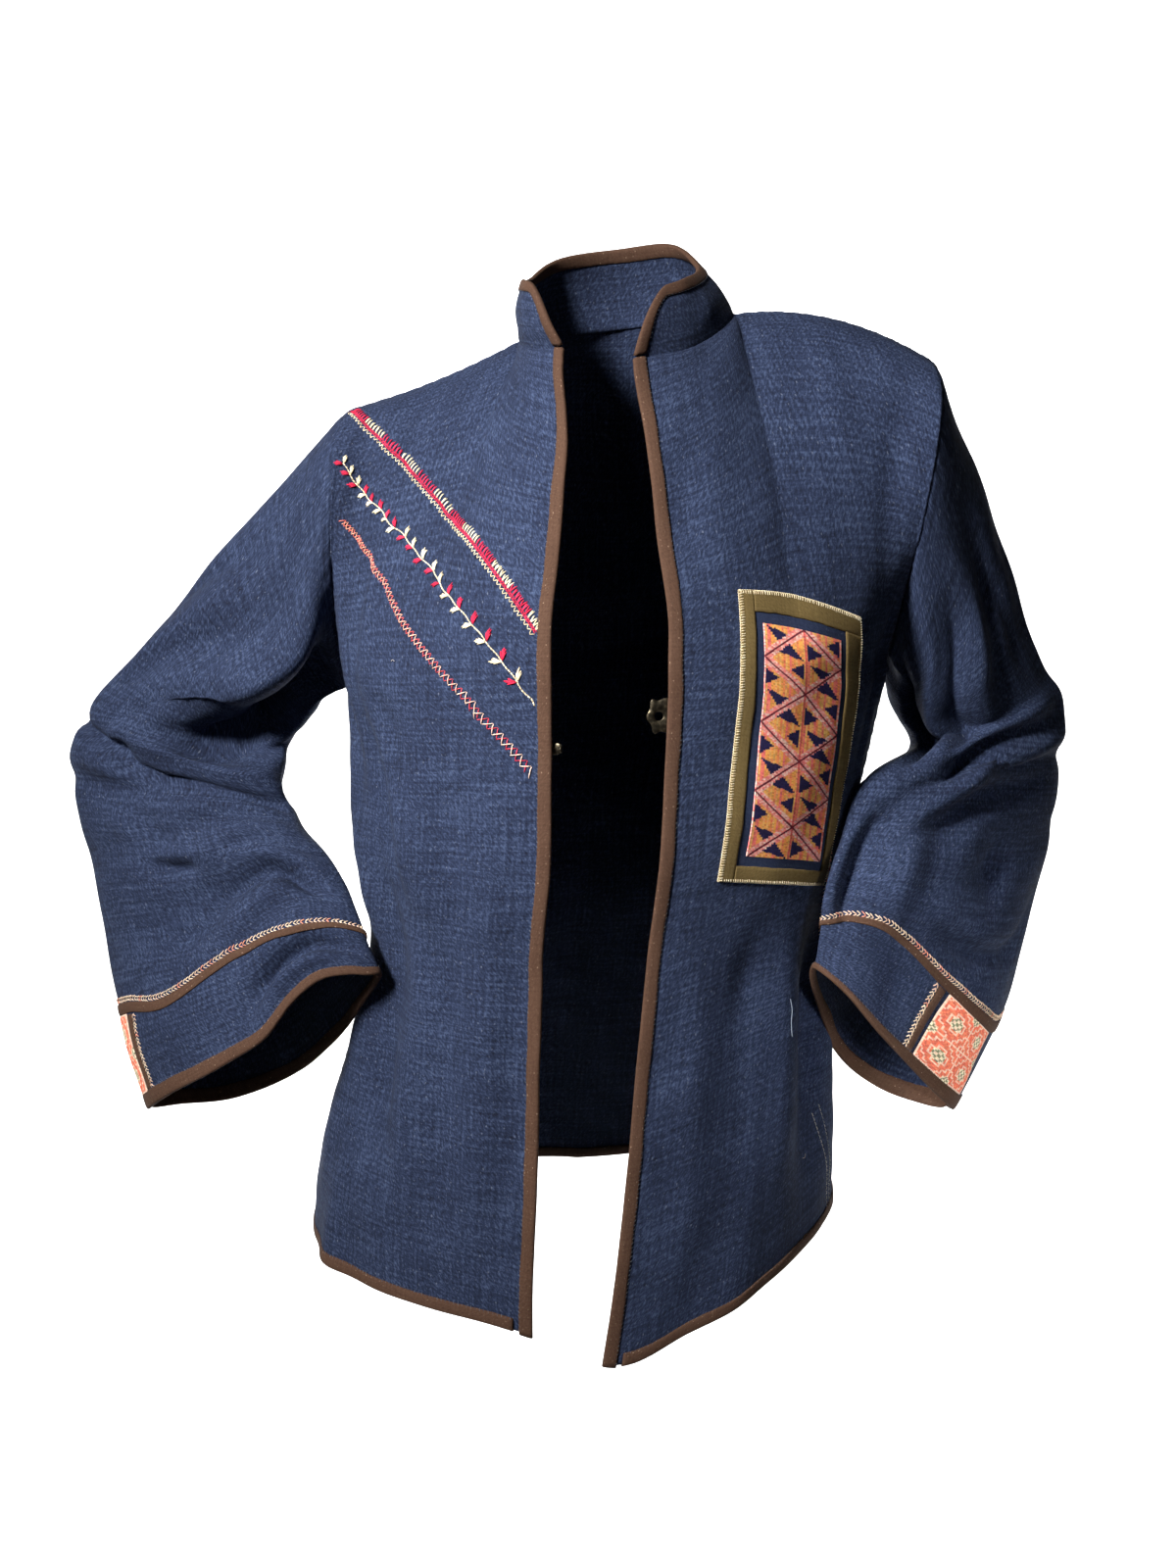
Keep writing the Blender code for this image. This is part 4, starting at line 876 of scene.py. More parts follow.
def sleeve(side, share, angle):
    """Sleeve surface: share 0 at the armhole to 1 at the cuff, angle from the outer fold to the front."""
    share, angle = np.broadcast_arrays(np.asarray(share, float), np.asarray(angle, float))
    table = np.array(SLEEVE_SECTIONS[side])
    rows = np.column_stack([sleeve_knots(side), table])
    grown = np.clip((share - DROP_STARTS) / (DROP_ENDS - DROP_STARTS), 0, 1)
    grown = grown**2 * (3 - 2 * grown)

    def section(at, turn, grown):
        """Point of the sections alone, at an angle, with the cuff's flattening grown in by its share."""
        values = spline(rows, at)
        outer, inner, depth = values[..., :3], values[..., 3:6], values[..., 6:]
        ahead = spline(rows, np.minimum(at + 0.02, 1.0))
        behind = spline(rows, np.maximum(at - 0.02, 0.0))
        axis = unit((ahead[..., :3] + ahead[..., 3:6]) - (behind[..., :3] + behind[..., 3:6]))
        wide = (outer - inner) / 2
        deep = unit(np.cross(axis, wide))
        deep = np.where(deep[..., 1:2] > 0, -deep, deep)
        c, s = np.cos(np.radians(turn)), np.sin(np.radians(turn))
        power = 2 / SLEEVE_POINT
        pressed = 1 + BODY_PRESS * np.minimum(c, 0) * (s < 0) * grown
        pressed -= CUFF_PINCH[side] * np.maximum(c, 0) ** 3 * grown
        return ((outer + inner) / 2 + wide * (np.sign(c) * np.abs(c) ** (2 - power))[..., None]
                + deep * depth * (pressed * np.sign(s) * np.abs(s) ** power)[..., None])

    point = section(share, angle, grown)
    drop = spline(CUFF_DROP[side], angle % 360)[..., 0] * grown
    end_way = unit(table[-1, :3] + table[-1, 3:6] - table[-2, :3] - table[-2, 3:6])
    point = point + end_way * drop[..., None]
    near = share < ARMHOLE_BLEND
    fade = (1 - share[near] / ARMHOLE_BLEND)[..., None] ** 2
    start = section(0 * share[near], angle[near], 0 * share[near])
    point[near] += fade * (armhole(side, angle[near]) - start)
    centre = spline(rows, share)
    centre = (centre[..., :3] + centre[..., 3:6]) / 2
    fold = fold_height(SLEEVE_FOLDS[side], angle % 360, share, math.radians(0.085),
                       SLEEVE_LENGTH[side])
    fold = fold * np.clip(share / 0.08, 0, 1)
    return point + unit(point - centre) * fold[..., None]


DEGREE = 0.00125               # metres round a sleeve for each degree

# Creases laid over the sleeves' own folds, as (share of the length, degrees from the outer fold)
SLEEVE_CREASES = {
    "right": (
        # height, half width above, half width below, sharpness, places
        (0.0150, 0.0260, 0.0110, 2.0,
         ((0.432, 83), (0.370, 94), (0.301, 113), (0.180, 121), (0.091, 122), (0.015, 125))),
        (-0.0270, 0.0140, 0.0280, 2.2,
         ((0.450, 90), (0.430, 110), (0.361, 132), (0.221, 143), (0.103, 146), (0.010, 148))),
        (-0.0080, 0.0100, 0.0120, 2.0, ((0.440, 110), (0.430, 140), (0.400, 165), (0.360, 190))),
        (0.0110, 0.0220, 0.0090, 2.0, ((0.340, 102), (0.250, 114), (0.150, 119), (0.060, 121), (0.000, 123))),
        (-0.0180, 0.0120, 0.0300, 2.0,
         ((0.380, 134), (0.260, 146), (0.140, 150), (0.060, 152), (0.000, 154))),
        (0.0050, 0.0070, 0.0070, 2.0, ((0.466, 86), (0.474, 106), (0.482, 130), (0.476, 162))),
        (-0.0180, 0.0065, 0.0042, 1.4,
         ((0.436, -8), (0.446, 14), (0.460, 40), (0.484, 71), (0.510, 84), (0.526, 97), (0.530, 116),
          (0.536, 136), (0.552, 170))),
        (0.0070, 0.0060, 0.0130, 1.6, ((0.480, 50), (0.505, 80), (0.525, 100), (0.540, 130), (0.560, 166))),
        (-0.0060, 0.0110, 0.0110, 2.0, ((0.373, 50), (0.333, 65), (0.267, 83), (0.198, 96), (0.130, 110))),
        (0.0050, 0.0120, 0.0110, 2.0, ((0.400, 30), (0.330, 48), (0.240, 66), (0.140, 84))),
        (-0.0050, 0.0100, 0.0110, 2.0, ((0.290, 20), (0.210, 44), (0.120, 66))),
        (0.0040, 0.0110, 0.0100, 2.0, ((0.360, 84), (0.290, 96), (0.200, 108))),
        (-0.0060, 0.0080, 0.0090, 1.8, ((0.535, 50), (0.574, 80), (0.613, 85), (0.650, 88))),
        (0.0035, 0.0100, 0.0100, 2.0, ((0.560, 66), (0.600, 74), (0.660, 76))),
        (-0.0060, 0.0100, 0.0100, 1.8, ((0.640, 96), (0.596, 108), (0.575, 124), (0.575, 160))),
        (0.0050, 0.0100, 0.0100, 2.0, ((0.680, 98), (0.632, 114), (0.612, 136), (0.606, 166))),
        (-0.0140, 0.0070, 0.0060, 1.6, ((0.664, 80), (0.682, 89), (0.676, 97))),
        (0.0035, 0.0060, 0.0060, 2.0, ((0.648, 80), (0.656, 90), (0.650, 100))),
        (-0.0140, 0.0100, 0.0080, 1.7, ((0.812, 76), (0.775, 91), (0.735, 101), (0.730, 118), (0.735, 132))),
        (0.0050, 0.0100, 0.0100, 2.0, ((0.830, 92), (0.790, 104), (0.775, 124), (0.785, 148))),
        (-0.0140, 0.0080, 0.0090, 1.7, ((0.700, 124), (0.735, 136), (0.765, 143), (0.790, 152))),
        (0.0045, 0.0090, 0.0090, 2.0, ((0.672, 110), (0.690, 130), (0.705, 156))),
        (-0.0170, 0.0090, 0.0080, 1.8,
         ((0.950, 99), (0.917, 107), (0.908, 116), (0.914, 130), (0.923, 144), (0.935, 160))),
        (0.0060, 0.0080, 0.0080, 2.0, ((0.968, 104), (0.952, 116), (0.948, 126), (0.955, 140), (0.970, 154))),
        (-0.0050, 0.0110, 0.0100, 2.0, ((0.440, 320), (0.480, 270), (0.520, 200))),
        (0.0050, 0.0100, 0.0110, 2.0, ((0.500, 330), (0.540, 270), (0.570, 205))),
        (-0.0050, 0.0100, 0.0100, 2.0, ((0.560, 325), (0.600, 280), (0.610, 220))),
        (-0.0045, 0.0120, 0.0100, 2.0, ((0.100, 250), (0.240, 262), (0.400, 240))),
        (0.0040, 0.0120, 0.0120, 2.0, ((0.080, 290), (0.220, 300), (0.380, 285))),
        (-0.0040, 0.0120, 0.0120, 2.0, ((0.700, 300), (0.820, 280), (0.960, 285))),
        (0.0040, 0.0120, 0.0120, 2.0, ((0.680, 260), (0.800, 240), (0.970, 245))),
    ),
    "left": (
        (0.0090, 0.0110, 0.0110, 2.0, ((0.020, 134), (0.130, 146), (0.260, 150), (0.380, 147), (0.492, 131))),
        (-0.0110, 0.0090, 0.0100, 1.8,
         ((0.010, 168), (0.104, 178), (0.283, 172), (0.450, 160), (0.500, 150))),
        (-0.0080, 0.0090, 0.0080, 1.8,
         ((0.090, 118), (0.169, 124), (0.312, 131), (0.440, 130), (0.482, 127))),
        (0.0050, 0.0120, 0.0100, 2.0, ((0.080, 100), (0.190, 102), (0.300, 108), (0.400, 112))),
        (-0.0060, 0.0110, 0.0110, 2.0, ((0.100, 84), (0.170, 78), (0.233, 70), (0.343, 70))),
        (-0.0110, 0.0090, 0.0070, 1.7,
         ((0.430, 56), (0.450, 79), (0.462, 101), (0.500, 112), (0.530, 119), (0.548, 136))),
        (0.0100, 0.0080, 0.0110, 1.9,
         ((0.455, 48), (0.476, 74), (0.492, 90), (0.530, 102), (0.568, 112), (0.598, 129))),
        (-0.0090, 0.0070, 0.0110, 1.8,
         ((0.530, 56), (0.545, 73), (0.556, 91), (0.575, 103), (0.600, 116), (0.630, 124))),
        (0.0050, 0.0110, 0.0110, 2.0, ((0.590, 78), (0.610, 94), (0.650, 97), (0.720, 96))),
        (-0.0140, 0.0120, 0.0160, 2.0,
         ((0.590, 142), (0.640, 150), (0.720, 155), (0.800, 158), (0.840, 162))),
        (0.0060, 0.0100, 0.0100, 2.0, ((0.570, 116), (0.640, 122), (0.700, 124), (0.790, 128))),
        (-0.0050, 0.0080, 0.0080, 2.0, ((0.620, 84), (0.670, 82), (0.730, 82))),
        (0.0060, 0.0080, 0.0100, 2.0, ((0.740, 110), (0.757, 100), (0.772, 86), (0.775, 66))),
        (-0.0100, 0.0070, 0.0090, 1.8, ((0.762, 104), (0.780, 94), (0.797, 84), (0.796, 66), (0.790, 46))),
        (-0.0035, 0.0120, 0.0120, 2.0, ((0.840, 116), (0.890, 116), (0.960, 118))),
        (-0.0050, 0.0110, 0.0100, 2.0, ((0.420, 320), (0.470, 270), (0.520, 200))),
        (0.0050, 0.0100, 0.0110, 2.0, ((0.480, 330), (0.520, 270), (0.560, 205))),
        (-0.0050, 0.0100, 0.0100, 2.0, ((0.540, 325), (0.580, 280), (0.600, 220))),
        (-0.0045, 0.0120, 0.0100, 2.0, ((0.120, 250), (0.250, 262), (0.380, 240))),
        (0.0040, 0.0120, 0.0120, 2.0, ((0.100, 290), (0.240, 300), (0.380, 285))),
        (-0.0040, 0.0120, 0.0120, 2.0, ((0.680, 300), (0.800, 280), (0.950, 285))),
        (0.0040, 0.0120, 0.0120, 2.0, ((0.660, 260), (0.780, 240), (0.960, 245))),
    ),
}


def sleeve_metres(side, share, degrees):
    """A place on a sleeve in metres: along it, and round it."""
    return share * SLEEVE_LENGTH[side], degrees * DEGREE


def hang(side, share, degrees):
    """Outer face of a sleeve: its form moved out by creases and slow waves, with a dip at the armhole."""
    share, degrees = np.broadcast_arrays(np.asarray(share, float), np.asarray(degrees, float))
    points = sleeve(side, share, degrees)
    centre = sleeve_centre(side, share)
    along = sleeve(side, share + 0.004, degrees) - sleeve(side, share - 0.004, degrees)
    around = sleeve(side, share, degrees + 2.5) - sleeve(side, share, degrees - 2.5)
    facing = unit(np.cross(along, around))
    facing = np.where(np.sum(facing * (points - centre), -1, keepdims=True) < 0, -facing, facing)
    x, y = sleeve_metres(side, share, degrees % 360)
    lift = np.zeros(share.shape)
    for turn in (0.0, 360.0):
        lift += crease_height(SLEEVE_CREASES[side], x, y - turn * DEGREE,
                              lambda u, v: sleeve_metres(side, u, v))
    turn = np.radians(degrees)
    lift += unevenness(x, 0.055 * np.sin(turn), 0.8) + unevenness(x + 0.1, 0.055 * np.cos(turn), 2.2)
    free = 1 - np.exp(-((x / SEAM_FADE) ** 2))
    pucker = 0.0005 * np.sin(2 * math.pi * y / 0.012) * np.exp(-((x - 0.006) / 0.005) ** 2)
    dip = SEAM_DIP * np.exp(-((x / 0.0022) ** 2))
    return points + facing * (lift * free + pucker - dip)[..., None]


def sleeve_centre(side, share):
    """Middle line of a sleeve."""
    table = np.array(SLEEVE_SECTIONS[side])
    return spline(np.column_stack([sleeve_knots(side), (table[:, :3] + table[:, 3:6]) / 2]), share)


arm = {}
for side in ("right", "left"):
    shares = np.linspace(0, 1, round(SLEEVE_LENGTH[side] / GRID) + 1)
    degrees = np.arange(180, 542.5, 2.5)
    share, degree = np.meshgrid(shares, degrees, indexing="ij")
    points = hang(side, share, degree)
    uv = np.stack([arc_length(points, len(degrees) // 2), share * SLEEVE_LENGTH[side]], -1)
    name = "sleeve_" + side
    cloth[name] = cloth_shell("cloth_" + name, points[:, :-1], uv, indigo_hemp,
                              sleeve_centre(side, shares)[:, None], ring=True)
    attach(cloth[name], "root")
    face = cloth_face(points, shares, degrees)
    arm[side] = lambda share, degree, face=face: face(share, (np.asarray(degree) - 180) % 360 + 180)
    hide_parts(name, "cuff_" + side)


# ---- Stand collar ------------------------------------------------------------------------------
# One strip of the same hemp round the neckline, stiffened so that it stands 45 mm, with both of its
# front corners cut to a round.

COLLAR_TOP = (
    # share of the way, x, y, z
    (-1.00, -0.041, -0.064, 0.012),
    (-0.75, -0.053, -0.034, 0.020),
    (-0.45, -0.049, 0.014, 0.028),
    (-0.22, -0.030, 0.045, 0.046),
    (0.00, 0.010, 0.056, 0.054),
    (0.22, 0.048, 0.036, 0.054),
    (0.45, 0.064, -0.004, 0.034),
    (0.75, 0.052, -0.046, 0.018),
    (1.00, 0.030, -0.067, 0.009),
)
COLLAR_CORNER = 0.12       # share of the way over which the collar's front corners are rounded
COLLAR_HALF_LENGTH = 0.165
COLLAR_STAND = 0.046


def collar(share, height):
    """Stand collar before its corners are cut: height is 0 at the neckline and 1 at the full stand."""
    share, height = np.broadcast_arrays(np.asarray(share, float), np.asarray(height, float))
    base, top = spline(NECKLINE, share), spline(COLLAR_TOP, share)
    height = height[..., None]
    out = unit((base - np.array([0.015, -0.005, 0.0])) * np.array([1, 1, 0]))
    return base + (top - base) * height + out * 0.004 * np.sin(math.pi * height)


def collar_outline(share):
    """Height of the collar's edge: full along the neck, falling in a round to each front corner."""
    near_end = np.clip((1 - np.abs(share)) / COLLAR_CORNER, 0, 1)
    return 0.30 + 0.70 * np.sqrt(np.clip(1 - (1 - near_end) ** 2, 0, 1))


COLLAR_CREASES = (
    # height, half width on the two sides, sharpness, places along it as (share, height)
    (-0.0012, 0.006, 0.006, 2.0, ((-0.62, 0.1), (-0.58, 0.5), (-0.60, 0.9))),
    (0.0010, 0.008, 0.008, 2.0, ((-0.30, 0.1), (-0.28, 0.9))),
    (-0.0014, 0.007, 0.007, 2.0, ((0.38, 0.1), (0.41, 0.5), (0.40, 0.9))),
    (0.0010, 0.008, 0.008, 2.0, ((0.66, 0.1), (0.64, 0.9))),
)


def collar_metres(share, height):
    """A place on the collar in metres: along it, and up from the neckline."""
    return share * COLLAR_HALF_LENGTH, height * COLLAR_STAND


def collar_normals(share, height):
    """Unit normals of the collar, away from the neck."""
    share = np.clip(share, -0.99, 0.99)
    step = 4e-3
    along = collar(share + step, height) - collar(share - step, height)
    up = collar(share, height + step) - collar(share, height - step)
    found = unit(np.cross(along, up))
    away = (collar(share, height) - np.array([0.015, 0, 0])) * np.array([1, 1, 0])
    return np.where(np.sum(found * away, -1, keepdims=True) < 0, -found, found)


def stand(share, height):
    """Outer face of the collar, with soft bends and slow waves; it runs on a little below the neckline."""
    share, height = np.broadcast_arrays(np.asarray(share, float), np.asarray(height, float))
    x, y = collar_metres(share, height)
    lift = crease_height(COLLAR_CREASES, x, y, collar_metres) + unevenness(x, y, 4.0)
    free = 1 - np.exp(-((y / 0.010) ** 2))
    return collar(share, height) + collar_normals(share, height) * (lift * free)[..., None]


share, height = np.meshgrid(np.linspace(-1, 1, 141), np.linspace(-0.09, 1, 25))
height = np.where(height > 0, height * collar_outline(share), height)
axis = np.broadcast_to([0.015, 0.0, 0.0], (*share.shape, 3)).copy()
points = stand(share, height)
axis[..., 2] = points[..., 2]
uv = np.stack(collar_metres(share, height), -1)
cloth["collar"] = cloth_shell("cloth_collar", points, uv, indigo_hemp, axis)
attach(cloth["collar"], "root")
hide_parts("collar")


# ---- Bindings ----------------------------------------------------------------------------------
# Bias strips of brown cotton folded over every raw edge: fronts, hem, cuffs and the collar's top.
# A row of small dark stitches along each strip's inner edge holds it to the hemp.

BINDING_WIDTH = 0.0078         # of the leg that shows
BINDING_STEP = 0.0022          # between two cross-sections
BINDING_PROFILE = (
    # share of the width in from the cloth's edge, millimetres out from the cloth's outer face
    (1.00, 0.15), (1.005, 0.55), (0.97, 0.95), (0.80, 1.30), (0.50, 1.42), (0.20, 1.38), (0.00, 1.20),
    (-0.12, 0.70), (-0.17, -0.10), (-0.17, -1.10), (-0.12, -1.90), (0.00, -2.40), (0.25, -2.55),
    (0.60, -2.50), (0.90, -2.20), (0.98, -1.80),
    (0.98, -1.35), (0.90, -1.35), (0.60, -1.32), (0.25, -1.32), (0.06, -1.32), (0.00, -1.28), (-0.03, -1.10),
    (-0.05, -0.80), (-0.05, -0.30), (-0.03, -0.05), (0.00, 0.10), (0.10, 0.12), (0.25, 0.12), (0.50, 0.12),
    (0.80, 0.12), (0.95, 0.12),
)
PRICK_PITCH = 0.0031           # between two of the stitches that hold a binding
PRICK_COLOURS = ((0.10, 0.11, 0.14), (0.14, 0.15, 0.17), (0.05, 0.05, 0.07))

brown_cotton = woven("brown_cotton", (0.029, 0.0130, 0.0075), (0.071, 0.0345, 0.0200), (0.112, 0.063, 0.040),
                     (0.40, 0.27, 0.19), 0.0006, 0.88, 0.76, 0.75)


def stations(surface, u, v, pitch):
    """Places about a pitch apart along a line on a surface, and the line's direction at each of them."""
    length = walked(surface(u, v))
    count = max(round(length[-1] / pitch), 2)
    at = (np.arange(count) + 0.5) * length[-1] / count
    return (np.interp(at, length, u), np.interp(at, length, v),
            np.interp(at, length, np.gradient(u, length)), np.interp(at, length, np.gradient(v, length)))


def sew(surface, u, v, du, dv, offsets, outward_from):
    """Points and normals on a surface at (along, aside, out) offsets in metres from each place.

    The offset is turned into steps of u and v with the surface's slopes, so that the points stay on it.
    """
    step_u, step_v = 0.012, 0.012 if np.ptp(v) < 20 else 2.5
    slope_u = (surface(u + step_u, v) - surface(u - step_u, v)) / (2 * step_u)
    slope_v = (surface(u, v + step_v) - surface(u, v - step_v)) / (2 * step_v)
    out = unit(np.cross(slope_u, slope_v))
    out *= np.sign(np.sum(out * (surface(u, v) - outward_from), -1, keepdims=True))
    ahead = unit(slope_u * du[:, None] + slope_v * dv[:, None])
    aside = np.cross(out, ahead)
    want = ahead[:, None] * offsets[..., :1] + aside[:, None] * offsets[..., 1:2]
    pairs = ((slope_u, slope_u), (slope_u, slope_v), (slope_v, slope_v))
    uu, uv, vv = (np.sum(a * b, -1)[:, None] for a, b in pairs)
    on_u, on_v = np.sum(want * slope_u[:, None], -1), np.sum(want * slope_v[:, None], -1)
    area = uu * vv - uv * uv
    new_u, new_v = (on_u * vv - on_v * uv) / area, (on_v * uu - on_u * uv) / area
    out = np.broadcast_to(out[:, None], want.shape)
    return surface(u[:, None] + new_u, v[:, None] + new_v) + out * offsets[..., 2:], out


def threads(name, points, facing, radius, colours, finish, sides=6, flatness=0.75):
    """Stitches as closed tubes, one for each row of points; the thread is flattened against the cloth."""
    count, steps = points.shape[:2]
    ahead = unit(np.gradient(points, axis=1))
    aside = unit(np.cross(facing, ahead))
    out = np.cross(ahead, aside)
    turn = (np.arange(sides) + 0.5) * 2 * math.pi / sides
    radius = np.broadcast_to(np.asarray(radius, float).reshape(-1, 1, 1, 1), (count, 1, 1, 1))
    taper = np.ones(steps)
    taper[[0, -1]] = 0.7
    ring = (aside[:, :, None] * np.cos(turn)[:, None] + out[:, :, None] * np.sin(turn)[:, None] * flatness)
    solid = points[:, :, None] + ring * radius * taper[:, None, None]
    here = np.arange(count * steps * sides).reshape(count, steps, sides)
    a, b = here[:, :-1], here[:, 1:]
    quads = [np.stack([a, np.roll(a, -1, 2), np.roll(b, -1, 2), b], -1).reshape(-1, 4)]
    for k in range(0, sides - 2, 2):
        first, last = here[:, 0], here[:, -1]
        quads.append(np.stack([first[:, 0], first[:, k + 3], first[:, k + 2], first[:, k + 1]], -1))
        quads.append(np.stack([last[:, 0], last[:, k + 1], last[:, k + 2], last[:, k + 3]], -1))
    tint = np.repeat(np.asarray(colours, float), steps * sides, axis=0)
    return new_mesh(name, solid.reshape(-1, 3), np.concatenate(quads), finish, colours=tint)


def straight(start, end, rise=0.00042, steps=5):
    """Offsets of straight stitches between (along, aside) ends: up out of the cloth, over and back down."""
    share = np.linspace(0, 1, steps)[None, :, None]
    flat = np.asarray(start)[:, None] * (1 - share) + np.asarray(end)[:, None] * share
    out = np.broadcast_to(rise * (1.35 * np.sin(math.pi * share) ** 0.4 - 0.35), (*flat.shape[:2], 1))
    return np.concatenate([flat, out], -1)


def choose(colours, count, seed, weights=None):
    """A seeded pick of one colour for each stitch, with small changes of brightness."""
    pick = np.random.default_rng(seed)
    chosen = np.array(colours)[pick.choice(len(colours), count, p=weights)]
    return np.clip(chosen * pick.uniform(0.82, 1.15, (count, 1)), 0, 1)


def floss(name, roughness=0.75, fibre=0.0004):
    """Cotton thread: its own colour attribute, with painted shade in the hollows and painted light on the
    ridges of a fine fibre noise that also makes its bump.
    """
    made, tree, shader = finish_nodes(name, roughness)
    colour = tree.nodes.new("ShaderNodeAttribute")
    colour.attribute_name = "thread"
    where = tree.nodes.new("ShaderNodeTexCoord").outputs["Object"]
    grain = noise_node(tree, where, 1 / fibre, 2.0)
    shade = tree.nodes.new("ShaderNodeHueSaturation")
    tree.links.new(colour.outputs["Color"], shade.inputs["Color"])
    # painted shade and light of the fibres: the value falls in the bump's hollows and rises on its ridges
    tree.links.new(math_node(tree, "MULTIPLY_ADD", grain, 0.9, 0.55), shade.inputs["Value"])
    tree.links.new(shade.outputs["Color"], shader.inputs["Base Color"])
    bump_node(tree, shader, grain, 0.00012)
    return made


thread_floss = floss("thread_floss")


def tube_quads(count, corners, ring):
    """Faces of a profile carried along a row of stations, with a cap at each end unless it is a ring."""
    i, j = np.meshgrid(np.arange(count if ring else count - 1), np.arange(corners), indexing="ij")
    here, there = i * corners, (i + 1) % count * corners
    k = (j + 1) % corners
    quads = [np.stack([here + j, here + k, there + k, there + j], -1).reshape(-1, 4)]
    if not ring:
        step = np.arange(corners // 2 - 1)
        cap = np.stack([step, corners - 1 - step, corners - 2 - step, step + 1], -1)
        quads += [cap, cap[:, ::-1] + (count - 1) * corners]
    return np.concatenate(quads)


def bind(name, edge, inside, outward_from, ring=False):
    """Binding round a cloth edge: one closed profile carried along the stations of the edge.

    A profile point goes in from the edge towards the inside line by its share of the width, and out
    along the normal by its height. The leg's width wanders a little, as hand folding does.
    """
    over = np.roll(edge, -1, 0) - np.roll(edge, 1, 0) if ring else np.gradient(edge, axis=0)
    inward = inside - edge
    out = unit(np.cross(over, inward))
    out *= np.sign(np.sum(out * (edge - outward_from), -1, keepdims=True))
    share, height = np.array(BINDING_PROFILE).T
    station = np.arange(len(edge))
    wander = (1 + 0.035 * np.sin(station * 0.13 + 1) + 0.02 * np.sin(station * 0.41)
              + 0.015 * np.sin(station * 1.7))
    share = share * np.where(share > 0.5, wander[:, None], 1.0)
    layers = edge[:, None] + inward[:, None] * share[..., None] + out[:, None] * (height * 0.001)[:, None]
    count, corners = layers.shape[:2]
    quads = tube_quads(count, corners, ring)
    length = np.cumsum(np.linalg.norm(over, axis=-1)) * (0.5 if ring else 1.0)
    wide = walked(np.column_stack([share[0] * BINDING_WIDTH, height * 0.001]))
    uv = np.stack(np.broadcast_arrays(wide[None, :], length[:, None]), -1).reshape(-1, 2)
    flat = uv[quads]
    jump = np.ptp(flat[..., 0], axis=1) > 0.5 * wide[-1]
    round_it = flat[jump, :, 0]
    flat[jump, :, 0] = np.where(round_it < 0.3 * wide[-1], round_it + wide[-1], round_it)
    made = new_mesh(name, layers.reshape(-1, 3), quads, brown_cotton, uv=flat)
    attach(made, "root")
    return made


def inset(line, far=0.12, steps=19):
    """Parameter at which each place of an edge has gone a binding's width into the cloth.

    line gives the points for one value of the parameter. The distances between a row of such lines are
    added up and read back at the width, and the result is smoothed along the edge.
    """
    at = np.linspace(0, far, steps)
    rows = np.stack([line(t) for t in at], 1)
    gone = np.cumsum(np.linalg.norm(np.diff(rows, axis=1, prepend=rows[:, :1]), axis=-1), axis=1)
    last = (gone < BINDING_WIDTH).sum(1) - 1
    each = np.arange(len(gone))
    share = (BINDING_WIDTH - gone[each, last]) / (gone[each, last + 1] - gone[each, last])
    found = at[last] + share * at[1]
    padded = np.pad(found, 6, mode="edge")
    return np.convolve(padded, np.ones(13) / 13, mode="valid")


prick_points, prick_facing = [], []


def prick(surface, u, v, outward_from, flip=1.0):
    """Small slanting stitches over a binding's inner edge along a line of places."""
    places = stations(surface, u, v, PRICK_PITCH)
    count = len(places[0])
    start = np.column_stack([np.full(count, -0.0003), np.full(count, -0.0007 * flip)])
    end = np.column_stack([np.full(count, 0.0005), np.full(count, 0.0008 * flip)])
    offsets = straight(start, end, 0.0010, 3)
    offsets[:, 0, 2] = 0.0013
    offsets[:, -1, 2] = 0.0
    points, facing = sew(surface, *places, offsets, outward_from(places[0], places[1]))
    prick_points.append(points)
    prick_facing.append(facing)


def body_axis(surface):
    """Points inside the body at the height of places on a panel."""
    def inside(u, v):
        """The middle of the body behind a place of the surface."""
        found = surface(u, v) * [0, 0, 1] + [0.005, 0, 0]
        found[..., 2] = np.minimum(found[..., 2], -0.15)
        return found
    return inside


# front edges, from the hem to the neckline
for side in ("right", "left"):
    face = front[side]
    rise = np.linspace(0, 2, 300)
    length = walked(face(0 * rise, rise))
    rise = np.interp(np.linspace(0, length[-1], round(length[-1] / BINDING_STEP)), length, rise)
    edge = face(0 * rise, rise)
    reach = inset(lambda t: face(0 * rise + t, rise))
    inside = face(reach, rise)
    down = unit(edge[0] - edge[1]) * 0.0016
    edge[0] += down
    inside[0] += down
    piece = bind("binding_front_" + side, edge, inside, body_axis(face)(0 * rise, rise))
    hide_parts("front_binding_" + side)
    prick(face, reach, rise, body_axis(face), 1.0 if side == "right" else -1.0)

# the hem, from the right front's corner round the back to the left front's corner
edge, inside = [], []
for side, ways in (("right", (0.0, 1.0)), ("back", (-1.0, 1.0)), ("left", (1.0, 0.0))):
    face = front[side]
    width = 2 * BACK_HALF_WIDTH if side == "back" else PANEL_WIDTH
    across = np.linspace(*ways, round(width / BINDING_STEP))
    if side == "right":
        across = across[across > 1.08 * BINDING_WIDTH / PANEL_WIDTH]
    if side == "left":
        across = across[across > 1.02 * BINDING_WIDTH / PANEL_WIDTH][1:]
    if side == "back":
        across = across[1:]
    low = face(across, 0 * across)
    reach = inset(lambda t: face(across, 0 * across + t), 0.05)
    edge.append(low)
    inside.append(face(across, reach))
    prick(face, across, reach, body_axis(face), -1.0 if side == "right" or side == "back" else 1.0)
edge, inside = np.concatenate(edge), np.concatenate(inside)
piece = bind("binding_hem", edge, inside, edge * [0, 0, 1] + [-0.02, 0, 0])
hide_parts("hem_binding")

